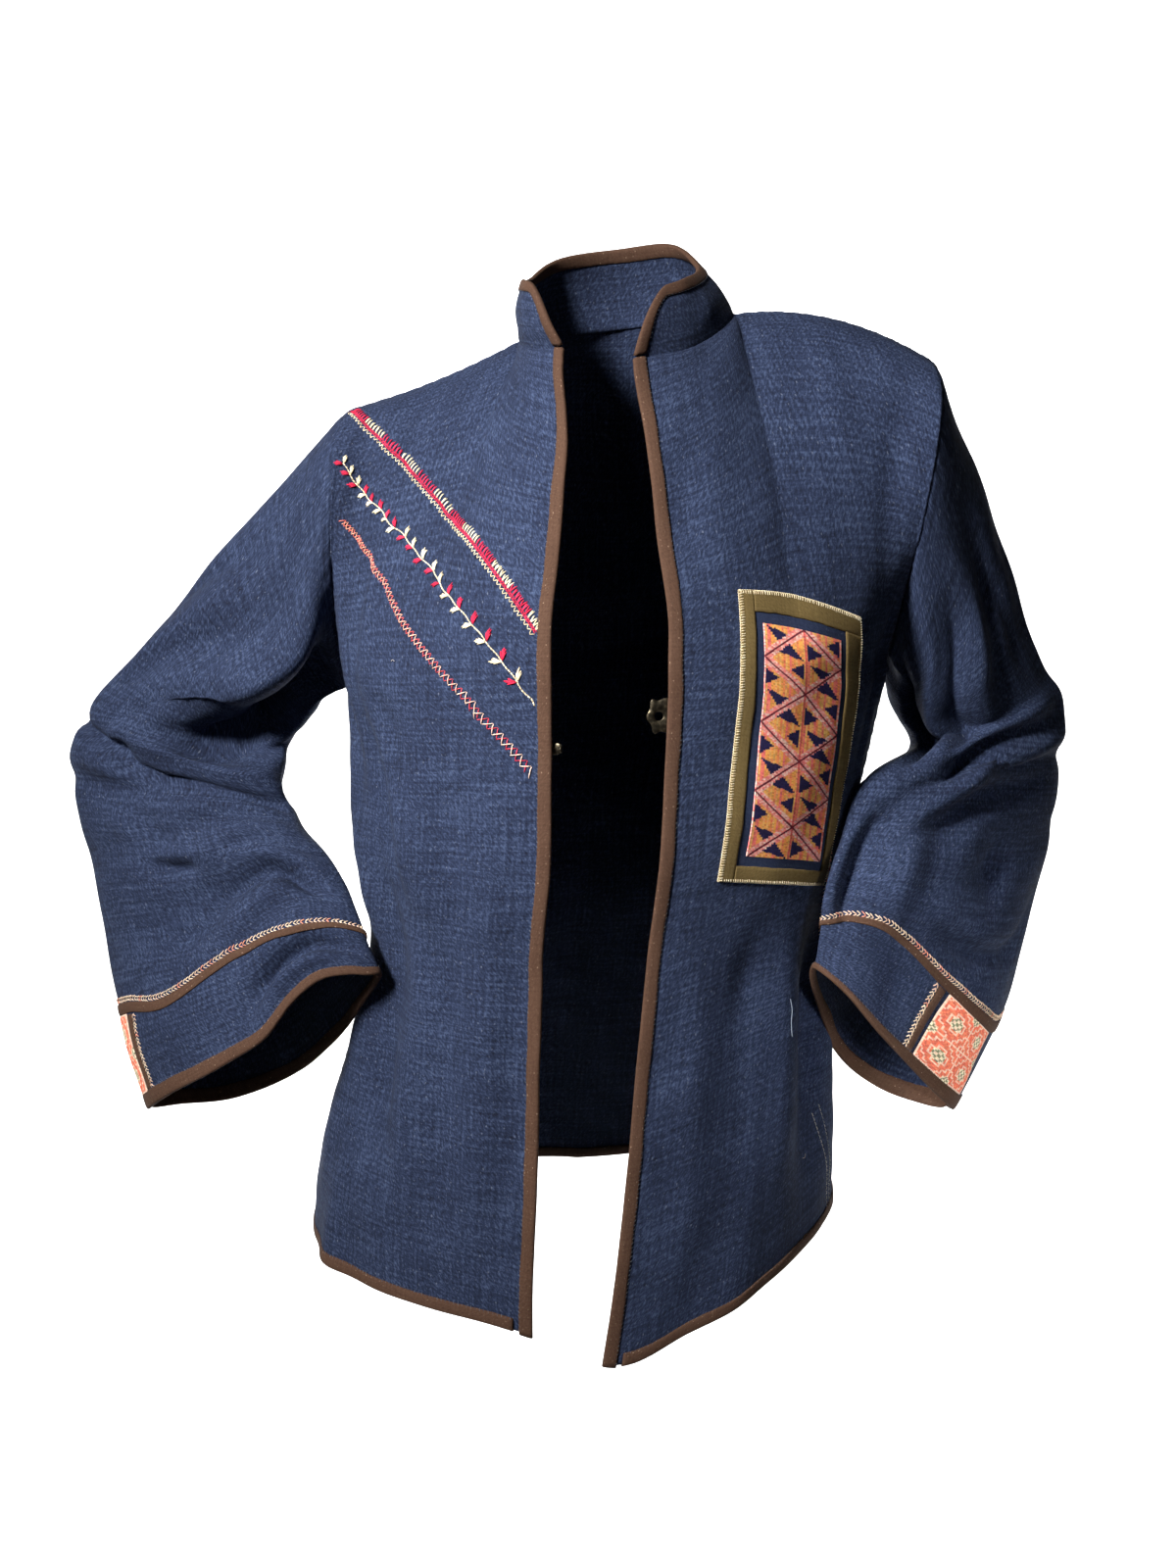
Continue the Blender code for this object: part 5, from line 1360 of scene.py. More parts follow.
# the cuffs
for side in ("right", "left"):
    face = arm[side]
    degree = np.linspace(0, 360, 721)
    length = walked(face(0 * degree + 1, degree))
    count = round(length[-1] / BINDING_STEP)
    degree = np.interp(np.arange(count) * length[-1] / count, length, degree)
    edge = face(0 * degree + 1, degree)
    reach = 1 - BINDING_WIDTH / SLEEVE_LENGTH[side]
    centre = sleeve_centre(side, np.array(1.0))
    piece = bind("binding_cuff_" + side, edge, face(0 * degree + reach, degree), centre, ring=True)
    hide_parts("cuff_binding_" + side)
    prick(face, 0 * degree + reach, degree,
          lambda u, v, side=side: sleeve_centre(side, u), -1.0)

# the collar: up one front corner, along the top and down the other
share = np.linspace(-1, 1, 401)
outline = collar_outline(share)
corner = np.linspace(0.04, outline[0], 8)[:-1]
outline = np.concatenate([corner, outline, corner[::-1]])
share = np.concatenate([np.full(7, -1.0), share, np.full(7, 1.0)])
flat = np.stack(collar_metres(share, outline), -1)
length = walked(flat)
at = np.linspace(0, length[-1], round(length[-1] / BINDING_STEP))
flat = np.stack([np.interp(at, length, flat[:, 0]), np.interp(at, length, flat[:, 1])], -1)
ahead = unit(np.gradient(flat, axis=0))
inner = flat + np.stack([ahead[:, 1], -ahead[:, 0]], -1) * BINDING_WIDTH * 0.92
edge = stand(flat[:, 0] / COLLAR_HALF_LENGTH, flat[:, 1] / COLLAR_STAND)
inside = stand(inner[:, 0] / COLLAR_HALF_LENGTH, inner[:, 1] / COLLAR_STAND)
piece = bind("binding_collar", edge, inside, edge * [0, 0, 1] + [0.015, 0.0, 0.0])
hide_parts("collar_binding")
prick(stand, inner[4:-4, 0] / COLLAR_HALF_LENGTH, inner[4:-4, 1] / COLLAR_STAND,
      lambda u, v: stand(u, v) * [0, 0, 1] + [0.015, 0, 0], -1.0)

points, facing = np.concatenate(prick_points), np.concatenate(prick_facing)
pricks = threads("binding_stitches", points, facing, 0.00017, choose(PRICK_COLOURS, len(points), 11),
                 thread_floss, 4)
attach(pricks, "root")


# ---- Cuff bands, strips and feather stitch -----------------------------------------------------
# A narrow brown band is sewn round each sleeve 50 to 85 mm above its edge, over the seam of the cuff.
# A short strip of it runs down to the cuff beside the patch. Cream feather stitch follows both.

BAND_WIDTH = 0.0062
STRIP_LIFT = 0.0003            # a strip's edge above the cloth that it is sewn on
STRIP_CLOTH = 0.0009
# Edges of the strip and of the patch, in degrees round the sleeve, as (at the band, at the cuff's edge)
CUFF_STRIP = {"right": ((46.3, 44.3), (41.6, 39.6)), "left": ((95.4, 103.6), (92.3, 100.7))}
CUFF_PATCH = {"right": ((40.0, 38.0), (-8.0, -10.0)), "left": ((90.5, 99.0), (55.0, 59.0))}
# Distance of the middle of each cuff's band from the cuff edge
CUFF_BAND = {
    "right": (
        # degrees round from the outer fold, metres
        (0, 0.056),
        (45, 0.056),
        (73, 0.0525),
        (86, 0.059),
        (93, 0.065),
        (101, 0.070),
        (109, 0.069),
        (118, 0.0625),
        (128, 0.056),
        (138, 0.053),
        (150, 0.054),
        (165, 0.054),
        (180, 0.050),
        (300, 0.054),
        (360, 0.056),
    ),
    "left": (
        (0, 0.048),
        (60, 0.048),
        (83, 0.056),
        (97, 0.065),
        (115, 0.078),
        (130, 0.084),
        (147, 0.080),
        (170, 0.066),
        (220, 0.056),
        (300, 0.050),
        (360, 0.048),
    ),
}
FEATHER_BESIDE = {"right": 1.9, "left": 1.1}      # degrees from the strip's edge to its feather stitch
FEATHER_PITCH = 0.0030
CREAM = (0.74, 0.57, 0.41)
CORAL = (0.72, 0.30, 0.20)
FEATHER_COLOURS = (CREAM, (0.74, 0.50, 0.36), CORAL)
FEATHER_SHARES = (0.60, 0.25, 0.15)


def band_edge(side, degree, offset):
    """Share of the sleeve at the band's middle, or at an offset of band widths above it."""
    height = spline(CUFF_BAND[side], degree % 360)[..., 0] + offset * BAND_WIDTH
    return 1 - height / SLEEVE_LENGTH[side]


def below_band(side, ends, down, above=0.0010, below=0.0002):
    """Shares and degrees of a line down the cuff, from the band to the binding, at shares of the way."""
    degree = ends[0] + (ends[1] - ends[0]) * down
    top = band_edge(side, degree, -0.5) + above / SLEEVE_LENGTH[side]
    bottom = 1 - (BINDING_WIDTH + below) / SLEEVE_LENGTH[side]
    return top + (bottom - top) * down, degree


def laid(name, low, high, finish, ring=False, crown=0.0004, layers=7, cloth=STRIP_CLOTH):
    """Strip of cloth laid on another: a rounded top between two lines, thin at its turned-in edges.

    low and high give points and normals along its two sides. Across the strip the height is the lift
    plus the cloth, plus a crown that follows half a sine, and it drops to the lift at both sides.
    """
    share = np.concatenate([[0, 0], np.linspace(0.04, 0.96, layers), [1, 1]])
    height = STRIP_LIFT + cloth * 0.8 + crown * np.sin(math.pi * share)
    height[[0, -1]] = STRIP_LIFT * 0.4
    height[[1, -2]] = STRIP_LIFT + cloth * 0.55
    share, height = np.append(share, [0.9, 0.5, 0.1]), np.append(height, [STRIP_LIFT * 0.4] * 3)
    points = low[0][:, None] * (1 - share)[:, None] + high[0][:, None] * share[:, None]
    facing = unit(low[1][:, None] * (1 - share)[:, None] + high[1][:, None] * share[:, None])
    shape = points + facing * height[:, None]
    count, corners = shape.shape[:2]
    quads = tube_quads(count, corners, ring)
    way = np.cumsum(np.linalg.norm(np.gradient(low[0], axis=0), axis=-1))
    span = np.linalg.norm(high[0] - low[0], axis=-1).mean()
    uv = np.stack(np.broadcast_arrays(share[None] * span, way[:, None]), -1).reshape(-1, 2)
    made = new_mesh(name, shape.reshape(-1, 3), quads, finish, uv=uv[quads])
    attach(made, "root")
    return made


def on_sleeve(side, share, degree):
    """Points and outward normals of a sleeve's outer face."""
    face = arm[side]
    points = face(share, degree)
    facing = unit(np.cross(face(share + 0.006, degree) - face(share - 0.006, degree),
                           face(share, degree + 2.5) - face(share, degree - 2.5)))
    facing *= np.sign(np.sum(facing * (points - sleeve_centre(side, share)), -1, keepdims=True))
    return points, facing


def feather(name, surface, u, v, outward_from, seed):
    """Feather stitch along a line: at each step a pair of straight stitches meets in a V."""
    places = stations(surface, u, v, FEATHER_PITCH)
    count = len(places[0])
    pick = np.random.default_rng(seed)
    loose = pick.normal(0, 0.00022, (count, 3, 2))
    lean = np.where(np.arange(count) % 2, 1.0, -1.0)[:, None] * [0.0, 0.0003]
    tip = np.array([-0.0016, 0.0]) + loose[:, 0] + lean
    left = np.array([0.0015, 0.0021]) + loose[:, 1]
    right = np.array([0.0015, -0.0020]) + loose[:, 2]
    offsets = np.concatenate([straight(left, tip, 0.0006), straight(right, tip, 0.0007)])
    places = [np.tile(p, 2) for p in places]
    points, facing = sew(surface, *places, offsets, outward_from(places[0], places[1]))
    colours = choose(FEATHER_COLOURS, count, seed + 1, FEATHER_SHARES)
    made = threads(name, points, facing, 0.00042, np.tile(colours, (2, 1)), thread_floss)
    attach(made, "root")
    return made


for side in ("right", "left"):
    face = arm[side]
    degree = np.arange(0, 360, 1.5)
    low, high = band_edge(side, degree, -0.5), band_edge(side, degree, 0.5)
    low, high = on_sleeve(side, low, degree), on_sleeve(side, high, degree)
    band = laid("band_" + side, low, high, brown_cotton, True)
    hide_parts("cuff_band_" + side)

    down = np.linspace(0, 1, 26)
    start, end = (below_band(side, ends, down) for ends in CUFF_STRIP[side])
    strip = laid("strip_" + side, on_sleeve(side, *start), on_sleeve(side, *end), brown_cotton)
    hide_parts("cuff_strip_" + side)

    degree = np.linspace(0, 360, 721)
    feather("feather_band_" + side, face, band_edge(side, degree, 0.82), degree,
            lambda share, degree, side=side: sleeve_centre(side, share), 21)
    beside = np.array(CUFF_STRIP[side][0]) + FEATHER_BESIDE[side]
    feather("feather_strip_" + side, face, *below_band(side, beside, down),
            lambda share, degree, side=side: sleeve_centre(side, share), 22)


# ---- Cross-stitch patches ----------------------------------------------------------------------
# A square of counted cross stitch on each cuff: a coral ground, pale stepped lines that run round
# four cream rosettes, and a pale cross between them. Each stitch is a small raised pad.

PATCH_CELLS = 45               # cross stitches along each side of a patch, about 1.1 mm each
PATCH_STEP = 3                 # cross stitches to one step of the stepped lines
PAD_FACES = 3                  # mesh faces along each side of a stitch
PATCH_CORAL = ((0.90, 0.22, 0.115), (0.86, 0.18, 0.100), (0.92, 0.26, 0.140), (0.80, 0.15, 0.095))
PATCH_PALE = ((0.98, 0.64, 0.48), (0.96, 0.58, 0.42), (0.99, 0.70, 0.53))
PATCH_CREAM = ((0.96, 0.84, 0.60), (0.92, 0.77, 0.54), (0.97, 0.72, 0.52))
PATCH_OLIVE = ((0.22, 0.24, 0.13), (0.34, 0.30, 0.17))
ROSETTE = (
    # one quarter of a rosette, from its middle out: c cream, o olive, a dot for the ground
    "occo",
    "cooc",
    "cocc",
    "ocd.",
)


def stitched_sheet(name, surface, rows, columns, colours, lift, finish, relief=0.00032):
    """Counted embroidery as one closed sheet: a pad for each stitch, high in its middle, low at its edges.

    surface gives points and normals at shares (across, down) of the sheet, and colours the colour there.
    Pads rise as the product of two half sines, so that the ground shows as small dips.
    """
    down, over = np.linspace(0, 1, rows * PAD_FACES + 1), np.linspace(0, 1, columns * PAD_FACES + 1)
    across, below = np.meshgrid(over, down)
    points, facing = surface(across, below)
    pad = (np.abs(np.sin(math.pi * columns * across)) * np.abs(np.sin(math.pi * rows * below))) ** 0.5
    top = points + facing * (lift + relief * pad)[..., None]
    bottom = points + facing * (STRIP_LIFT * 0.5)
    tint = colours(across, below).reshape(-1, 3)
    both = np.concatenate([top.reshape(-1, 3), bottom.reshape(-1, 3)])
    made = new_mesh(name, both, sheet_quads(*across.shape), finish, colours=np.tile(tint, (2, 1)))
    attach(made, "root")
    return made


def patch_chart(count, seed):
    """Colours of a cuff patch, charted stitch by stitch.

    The cross stands on the middle row and column. In each quarter the stepped line is where one block
    of stitches ends on every second diagonal of blocks, counted outwards from the quarter's rosette.
    """
    place = np.abs(np.arange(count) - (count - 1) / 2)
    edge = place > (count - 1) / 2 - 0.5
    out = np.abs(place - (count + 1) / 4)
    a, b = np.meshgrid(out, out, indexing="ij")
    block = np.floor(a / PATCH_STEP) + np.floor(b / PATCH_STEP)
    ends = (np.floor(a % PATCH_STEP) == PATCH_STEP - 1) | (np.floor(b % PATCH_STEP) == PATCH_STEP - 1)
    pale = (block % 2 == 1) & ends
    quarter = np.array([["cod".find(mark) for mark in row] for row in ROSETTE])
    flowers = np.full((count, count), -1)
    for middle_a, middle_b in ((a, b), (place[:, None] + 0 * a, count / 2 - place[None] + 0 * a),
                               (count / 2 - place[:, None] + 0 * a, place[None] + 0 * a)):
        near = (middle_a < 3.9) & (middle_b < 3.9)
        flowers[near] = quarter[np.floor(middle_a[near]).astype(int), np.floor(middle_b[near]).astype(int)]
    cross = (place[:, None] < 0.6) | (place[None] < 0.6)
    rim = edge[:, None] | edge[None]

    def pick(colours, step):
        """One of the colours for every stitch of the chart."""
        return choose(colours, count * count, seed + step).reshape(count, count, 3)

    tint = pick(PATCH_CORAL, 0)
    parts = ((pale | cross | rim, PATCH_PALE), (flowers == 0, PATCH_CREAM), (flowers == 1, PATCH_OLIVE))
    for where, colours in parts:
        tint[where] = pick(colours, len(colours))[where]

    def stitch(share):
        """Number of the stitch at a share of the way across the chart."""
        return np.minimum(share * count, count - 1).astype(int)

    return lambda a, b: tint[stitch(b), stitch(a)]


patch_colours = patch_chart(PATCH_CELLS, 31)
cross_stitch = floss("cross_stitch_floss", 0.8, 0.0005)

for side in ("right", "left"):
    near, far = CUFF_PATCH[side]

    def on_cuff(a, b):
        """Points and normals of the sleeve under the patch."""
        ends = [near[i] + (far[i] - near[i]) * a for i in (0, 1)]
        return on_sleeve(side, *below_band(side, ends, b, above=0.0004, below=-0.0006))

    patch = stitched_sheet("patch_" + side, on_cuff, PATCH_CELLS, PATCH_CELLS, patch_colours, 0.0009,
                           cross_stitch)
    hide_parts("cuff_patch_" + side)


# ---- Three lines of embroidery -----------------------------------------------------------------
# Hand embroidery in cotton floss slants across the right front from the armhole to the front edge:
# a blanket-stitch row over a red chain, a stem with pairs of leaves, and a herringbone row.

CRIMSON = (0.60, 0.018, 0.060)
RED_FLOSS = (CRIMSON, (0.70, 0.030, 0.085), (0.52, 0.014, 0.050))
CREAM_FLOSS = ((0.86, 0.72, 0.46), (0.92, 0.80, 0.56), (0.80, 0.65, 0.42))
FINE_PITCH = 0.0005            # of the places that an uneven spacing is picked from
LINE_PLACES = {
    # places on the right front as (across, rise), from the armhole to the front edge
    "upper": ((0.972, 1.918), (0.887, 1.795), (0.793, 1.707), (0.697, 1.633), (0.588, 1.571), (0.503, 1.515),
              (0.425, 1.467), (0.362, 1.424), (0.270, 1.404), (0.208, 1.376), (0.160, 1.343), (0.120, 1.307),
              (0.085, 1.268), (0.052, 1.225), (0.030, 1.190)),
    "leaf": ((0.952, 1.668), (0.873, 1.597), (0.765, 1.532), (0.640, 1.468), (0.533, 1.418), (0.452, 1.369),
             (0.382, 1.327), (0.310, 1.288), (0.248, 1.254), (0.198, 1.217), (0.155, 1.176), (0.120, 1.131),
             (0.087, 1.082), (0.058, 1.027), (0.034, 0.990)),
    "lower": ((0.900, 1.491), (0.782, 1.434), (0.660, 1.372), (0.545, 1.315), (0.483, 1.262), (0.420, 1.211),
              (0.360, 1.165), (0.302, 1.122), (0.255, 1.076), (0.213, 1.028), (0.177, 0.988), (0.138, 0.959),
              (0.100, 0.933), (0.065, 0.906), (0.036, 0.881)),
}


def line_places(name, pitch):
    """Places a pitch apart along one of the three embroidered lines."""
    places = smooth_line(LINE_PLACES[name], 30)
    return stations(front["right"], places[:, 0], places[:, 1], pitch)


def widening_places(name, first, last):
    """Places whose spacing changes evenly along the line from first to last, and the spacing at each."""
    fine = np.array(line_places(name, FINE_PITCH))
    count = round(len(fine[0]) * FINE_PITCH / (0.5 * (first + last)))
    spacing = np.linspace(first, last, count)
    at = np.cumsum(spacing) - spacing
    return fine[:, np.minimum(np.round(at / FINE_PITCH).astype(int), len(fine[0]) - 1)], spacing


def embroider(name, places, offsets, radius, colours):
    """One set of stitches on the right front."""
    behind = front["right"](places[0], places[1]) * [1, 0, 1] + [0, 0.10, 0]
    points, facing = sew(front["right"], *places, offsets, behind)
    made = threads(name, points, facing, radius, colours, thread_floss)
    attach(made, "root")
    return made


# upper line: spaced upright stitches in runs of red and cream, a red chain below, a cream zigzag under it
places = line_places("upper", 0.0031)
count = len(places[0])
pick = np.random.default_rng(41)
cream = np.arange(count) // 7 % 2 == 1
splay = np.where(np.arange(count) > 0.74 * count, 22.0, 5.0)
offsets = []
for way in (-0.5, 0.5):
    start = np.column_stack([pick.normal(0, 0.0001, count), np.full(count, 0.0004)])
    reach = pick.normal(0.0056, 0.0004, count)
    lean = np.radians(pick.normal(78, 4, count) + way * splay)
    end = start + np.column_stack([-np.cos(lean) * reach, np.sin(lean) * reach])
    offsets.append(straight(start, end, 0.0007))
tint = np.where(cream[:, None], choose(CREAM_FLOSS, count, 42), choose(RED_FLOSS, count, 43))
embroider("line_upper_blanket", np.tile(places, 2), np.concatenate(offsets), 0.00044, np.tile(tint, (2, 1)))
places = line_places("upper", 0.0021)
count = len(places[0])
turn = np.linspace(0.25, 1.75, 9) * math.pi
link = np.stack([np.cos(turn) * 0.0013, np.sin(turn) * 0.00075, np.full(9, 0.00045)], -1)
link[[0, -1], 2] = -0.0002
embroider("line_upper_chain", places, np.broadcast_to(link, (count, 9, 3)), 0.00036,
          choose(RED_FLOSS, count, 44))
places = line_places("upper", 0.0037)
count = len(places[0])
far = pick.normal(-0.0040, 0.0003, count)
start = np.column_stack([np.full(count, -0.00185), np.full(count, -0.0012)])
middle = np.column_stack([np.zeros(count), far])
end = np.column_stack([np.full(count, 0.00185), np.full(count, -0.0012)])
zigzag = np.concatenate([straight(start, middle, 0.0005), straight(middle, end, 0.0005)])
embroider("line_upper_zigzag", np.tile(places, 2), zigzag, 0.00028,
          np.tile(choose(CREAM_FLOSS, count, 45), (2, 1)))

# leaf line: a cream stem with a pair of leaves at each node, one upright and one flat, in red and
# cream by turns
places = line_places("leaf", 0.0026)
count = len(places[0])
sway = 0.0004 * np.sin(np.arange(count + 1) * 0.9)
stem = np.stack([np.column_stack([np.full(count, -0.00145), sway[:-1]]),
                 np.column_stack([np.full(count, 0.00145), sway[1:]])])
embroider("line_leaf_stem", places, straight(stem[0], stem[1], 0.0007), 0.00046,
          choose(CREAM_FLOSS, count, 51))
places, spacing = widening_places("leaf", 0.0084, 0.0172)
nodes = len(spacing)
upper_red = (np.arange(nodes) - 3) // 5 % 2 == 0
offsets, tint = [], []
pick = np.random.default_rng(52)
for side, angle, is_red in ((1, 132.0, upper_red), (-1, 224.0, ~upper_red)):
    tilt = pick.normal(0, 6, nodes)
    for spread in (-17.0, -8.0, 0.0, 8.0, 17.0):
        turn = np.radians(angle + spread + tilt + pick.normal(0, 2, nodes))
        grown = np.interp(spacing, (0.0084, 0.0172), (0.0068, 0.0088))
        size = pick.normal(1 - 0.016 * abs(spread), 0.04, nodes) * grown
        root = np.column_stack([np.full(nodes, 0.0), np.full(nodes, 0.0003 * side)])
        tip = root + np.column_stack([np.cos(turn), np.sin(turn)]) * size[:, None]
        offsets.append(straight(root, tip, 0.0009))
        tint.append(np.where(is_red[:, None], choose(RED_FLOSS, nodes, 53), choose(CREAM_FLOSS, nodes, 54)))
embroider("line_leaf_leaves", np.tile(places, 10), np.concatenate(offsets), 0.00050, np.concatenate(tint))

# lower line: two rows of herringbone, the wider and paler one on top, that both open out towards
# the front edge
places, spacing = widening_places("lower", 0.0048, 0.0096)
count = len(spacing)
way = np.linspace(0, 1, count)[:, None]
reach = np.linspace(0.0022, 0.0034, count)
pick = np.random.default_rng(61)
offsets, tint = [], []
for shift, near, far, out in ((-0.5, (0.80, 0.20, 0.15), (0.56, 0.030, 0.065), 0.0006),
                              (0.0, (0.86, 0.36, 0.24), (0.95, 0.66, 0.52), 0.0009)):
    jitter = pick.normal(0, 0.0002, (count, 4))
    foot = np.column_stack([spacing * shift + jitter[:, 0], jitter[:, 1] - reach])
    head = np.column_stack([spacing * (shift + 0.55) + jitter[:, 2], reach + jitter[:, 3]])
    back = np.column_stack([spacing * (shift + 1.05), -reach])
    offsets += [straight(foot, head, out), straight(head, back, out + 0.0001)]
    shade = (1 - way) * near + way * far
    tint += [shade * choose(((1, 1, 1),), count, 62), shade * choose(((1, 1, 1),), count, 63)]
embroider("line_lower_herringbone", np.tile(places, 4), np.concatenate(offsets), 0.00033,
          np.clip(np.concatenate(tint), 0, 1))


# ---- Embroidered panel -------------------------------------------------------------------------
# A tall panel on the left front: a navy ground worked solid with upright rows of floss in a lattice
# of diamonds and pinwheels, inside a frame of four olive strips that cream blanket stitch sews down.

PANEL_CORNERS = np.array(((0.185, 1.254), (0.611, 1.142), (0.178, 0.707), (0.672, 0.635)))
PANEL_EASE = 0.38              # the cloth is eased on more closely at the left, as the front turns away
YOKE_SHARE = 0.61              # length of a rise above the underarm against one below it
# shares of the panel's width, at its top and at its bottom, and of its height
FRAME_LEFT, FRAME_RIGHT = (0.143, 0.156), (0.867, 0.930)
FIELD_LEFT, FIELD_RIGHT = (0.212, 0.232), (0.832, 0.884)
FRAME_TOP, FRAME_BOTTOM, FIELD_TOP, FIELD_BOTTOM = 0.068, 0.945, 0.104, 0.911
FIELD_WIDE, FIELD_TALL = 0.052, 0.164
FLOSS_ROW = 0.00135            # between two upright rows of floss
FLOSS_STEP = 0.0011            # length of one stitch in a row
LATTICE = 0.2865               # height of one diamond as a share of the field
SPINE = 0.54                   # share of the field's width at which the diamonds touch
ORANGES = ((1.00, 0.42, 0.10), (0.98, 0.50, 0.15), (1.00, 0.23, 0.17), (1.00, 0.30, 0.11))
PINKS = ((1.00, 0.38, 0.32), (0.98, 0.25, 0.23), (1.00, 0.60, 0.50))
SPINE_RED = (0.80, 0.13, 0.12)
LATTICE_RED = (0.16, 0.018, 0.030)
NAVY_FLOSS = (0.022, 0.016, 0.070)
# arms of a pinwheel: three corners each, in millimetres right and down from its middle
PINWHEEL = (
    ((-17.2, -5.0), (-9.8, -12.0), (-0.8, -0.6)),
    ((1.4, -14.4), (10.9, -8.0), (1.4, -1.6)),
    ((-1.2, 0.9), (-9.9, 7.0), (-1.2, 14.2)),
    ((2.2, 0.8), (17.2, 5.2), (10.4, 11.2)),
)

olive_cloth = woven("olive_cloth", (0.070, 0.046, 0.014), (0.140, 0.094, 0.032), (0.205, 0.148, 0.060),
                    (0.30, 0.24, 0.13), 0.0006, 0.88, 0.78, 0.75)
navy_cloth = woven("navy_cloth", (0.008, 0.013, 0.033), (0.019, 0.028, 0.064), (0.036, 0.050, 0.102),
                   (0.08, 0.10, 0.15), 0.0006, 0.88, 0.78, 0.75)


def panel_face(a, b):
    """Place on the left front under the panel: a from its left side, b down from its top.

    It lies straight between the corners in (across, height), with a eased by a (1 - a). The height is the
    rise up to the underarm, and goes up by the yoke's smaller share of a rise above it.
    """
    a, b = np.broadcast_arrays(np.asarray(a, float)[..., None], np.asarray(b, float)[..., None])
    a = a - PANEL_EASE * a * (1 - a)
    corners = PANEL_CORNERS - [0, 1] * np.maximum(PANEL_CORNERS - 1, 0) * (1 - YOKE_SHARE)
    place = (corners[0] * (1 - a) + corners[1] * a) * (1 - b) + (corners[2] * (1 - a) + corners[3] * a) * b
    height = place[..., 1]
    return front["left"](place[..., 0], np.where(height < 1, height, 1 + (height - 1) / YOKE_SHARE))


def between(pair, b):
    """Value on the way from the panel's top to its bottom."""
    return pair[0] + (pair[1] - pair[0]) * b


def on_panel(a, b):
    """Points and outward normals of the front under the panel."""
    step = 0.012
    facing = unit(np.cross(panel_face(a + step, b) - panel_face(a - step, b),
                           panel_face(a, b + step) - panel_face(a, b - step)))
    points = panel_face(a, b)
    return points, facing * np.sign(np.sum(facing * (points * [1, 1, 0]), -1, keepdims=True))


def in_triangle(x, y, corners):
    """True inside a triangle: the place is on one hand of all three sides."""
    hands = [(c[0] - a[0]) * (y - a[1]) - (c[1] - a[1]) * (x - a[0])
             for a, c in zip(corners, corners[1:] + corners[:1])]
    return (np.min(hands, axis=0) > 0) | (np.max(hands, axis=0) < 0)


def field_colours(a, b):
    """Colours of the panel's field, from the distance to its lattice and to the pinwheels between."""
    pick = np.random.default_rng(71)
    columns, rows = round(FIELD_WIDE / FLOSS_ROW), round(FIELD_TALL / FLOSS_STEP)
    column = np.minimum(a * columns, columns - 1).astype(int)
    row = np.minimum(b * rows + 0.5 * (column % 2), rows - 1).astype(int)
    by_column = np.array(ORANGES)[pick.choice(4, columns, p=(0.32, 0.28, 0.20, 0.20))]
    speck = pick.uniform(0.72, 1.22, (rows, columns, 1))
    tint = by_column[column] * np.where(pick.uniform(0, 1, (rows, columns, 1)) < 0.22, [1.0, 0.75, 1.1],
                                        1)[row, column]
    x = (a - SPINE) / np.where(a < SPINE, SPINE, 1 - SPINE)
    tall = b / LATTICE
    saw = 1 - np.abs(2 * (tall % 1) - 1)
    gap = np.abs(np.abs(x) - saw)
    pink = np.array(PINKS)[pick.choice(3, (rows, columns))][row, column]
    side = np.minimum(a, 1 - a) * FIELD_WIDE < 0.0013
    tint = np.where(((gap < 0.19) | side)[..., None], pink, tint)
    spine = np.abs(a - SPINE) * FIELD_WIDE < 0.0008
    tint = np.where(spine[..., None], SPINE_RED, tint)
    coarse_a, coarse_b = (column + 0.5) / columns, (row + 0.5 - 0.5 * (column % 2)) / rows
    for centre_a, phase in ((SPINE, 0.5), (0.0, 0.0), (1.0, 0.0)):
        for k in range(-1, 5):
            mm_x = (coarse_a - centre_a) * FIELD_WIDE * 1000
            mm_y = (coarse_b - (k + phase) * LATTICE) * FIELD_TALL * 1000
            near = np.abs(mm_y) < 23
            for corners in PINWHEEL:
                tint = np.where((near & in_triangle(mm_x, mm_y, corners))[..., None], NAVY_FLOSS, tint)
    tint = np.where((gap < 0.034)[..., None], LATTICE_RED, tint)
    return np.clip(tint * speck[row, column], 0, 1)


across, below = np.meshgrid(np.linspace(0.11, 0.90, 30), np.linspace(0.05, 0.97, 90))
points, facing = on_panel(across, below)
ground = cloth_shell("panel_navy", points + facing * 0.0009, np.stack([across * 0.075, below * 0.215], -1),
                     navy_cloth, points * [0, 0, 1], 0.0007)
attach(ground, "root")
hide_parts("panel_navy_border")

field = stitched_sheet(
    "panel_field_stitches",
    lambda a, b: on_panel(between(FIELD_LEFT, b) + (between(FIELD_RIGHT, b) - between(FIELD_LEFT, b)) * a,
                          FIELD_TOP + (FIELD_BOTTOM - FIELD_TOP) * b),
    round(FIELD_TALL / FLOSS_STEP), round(FIELD_WIDE / FLOSS_ROW), field_colours, 0.0010, cross_stitch,
                       0.00045)
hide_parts("panel_field")

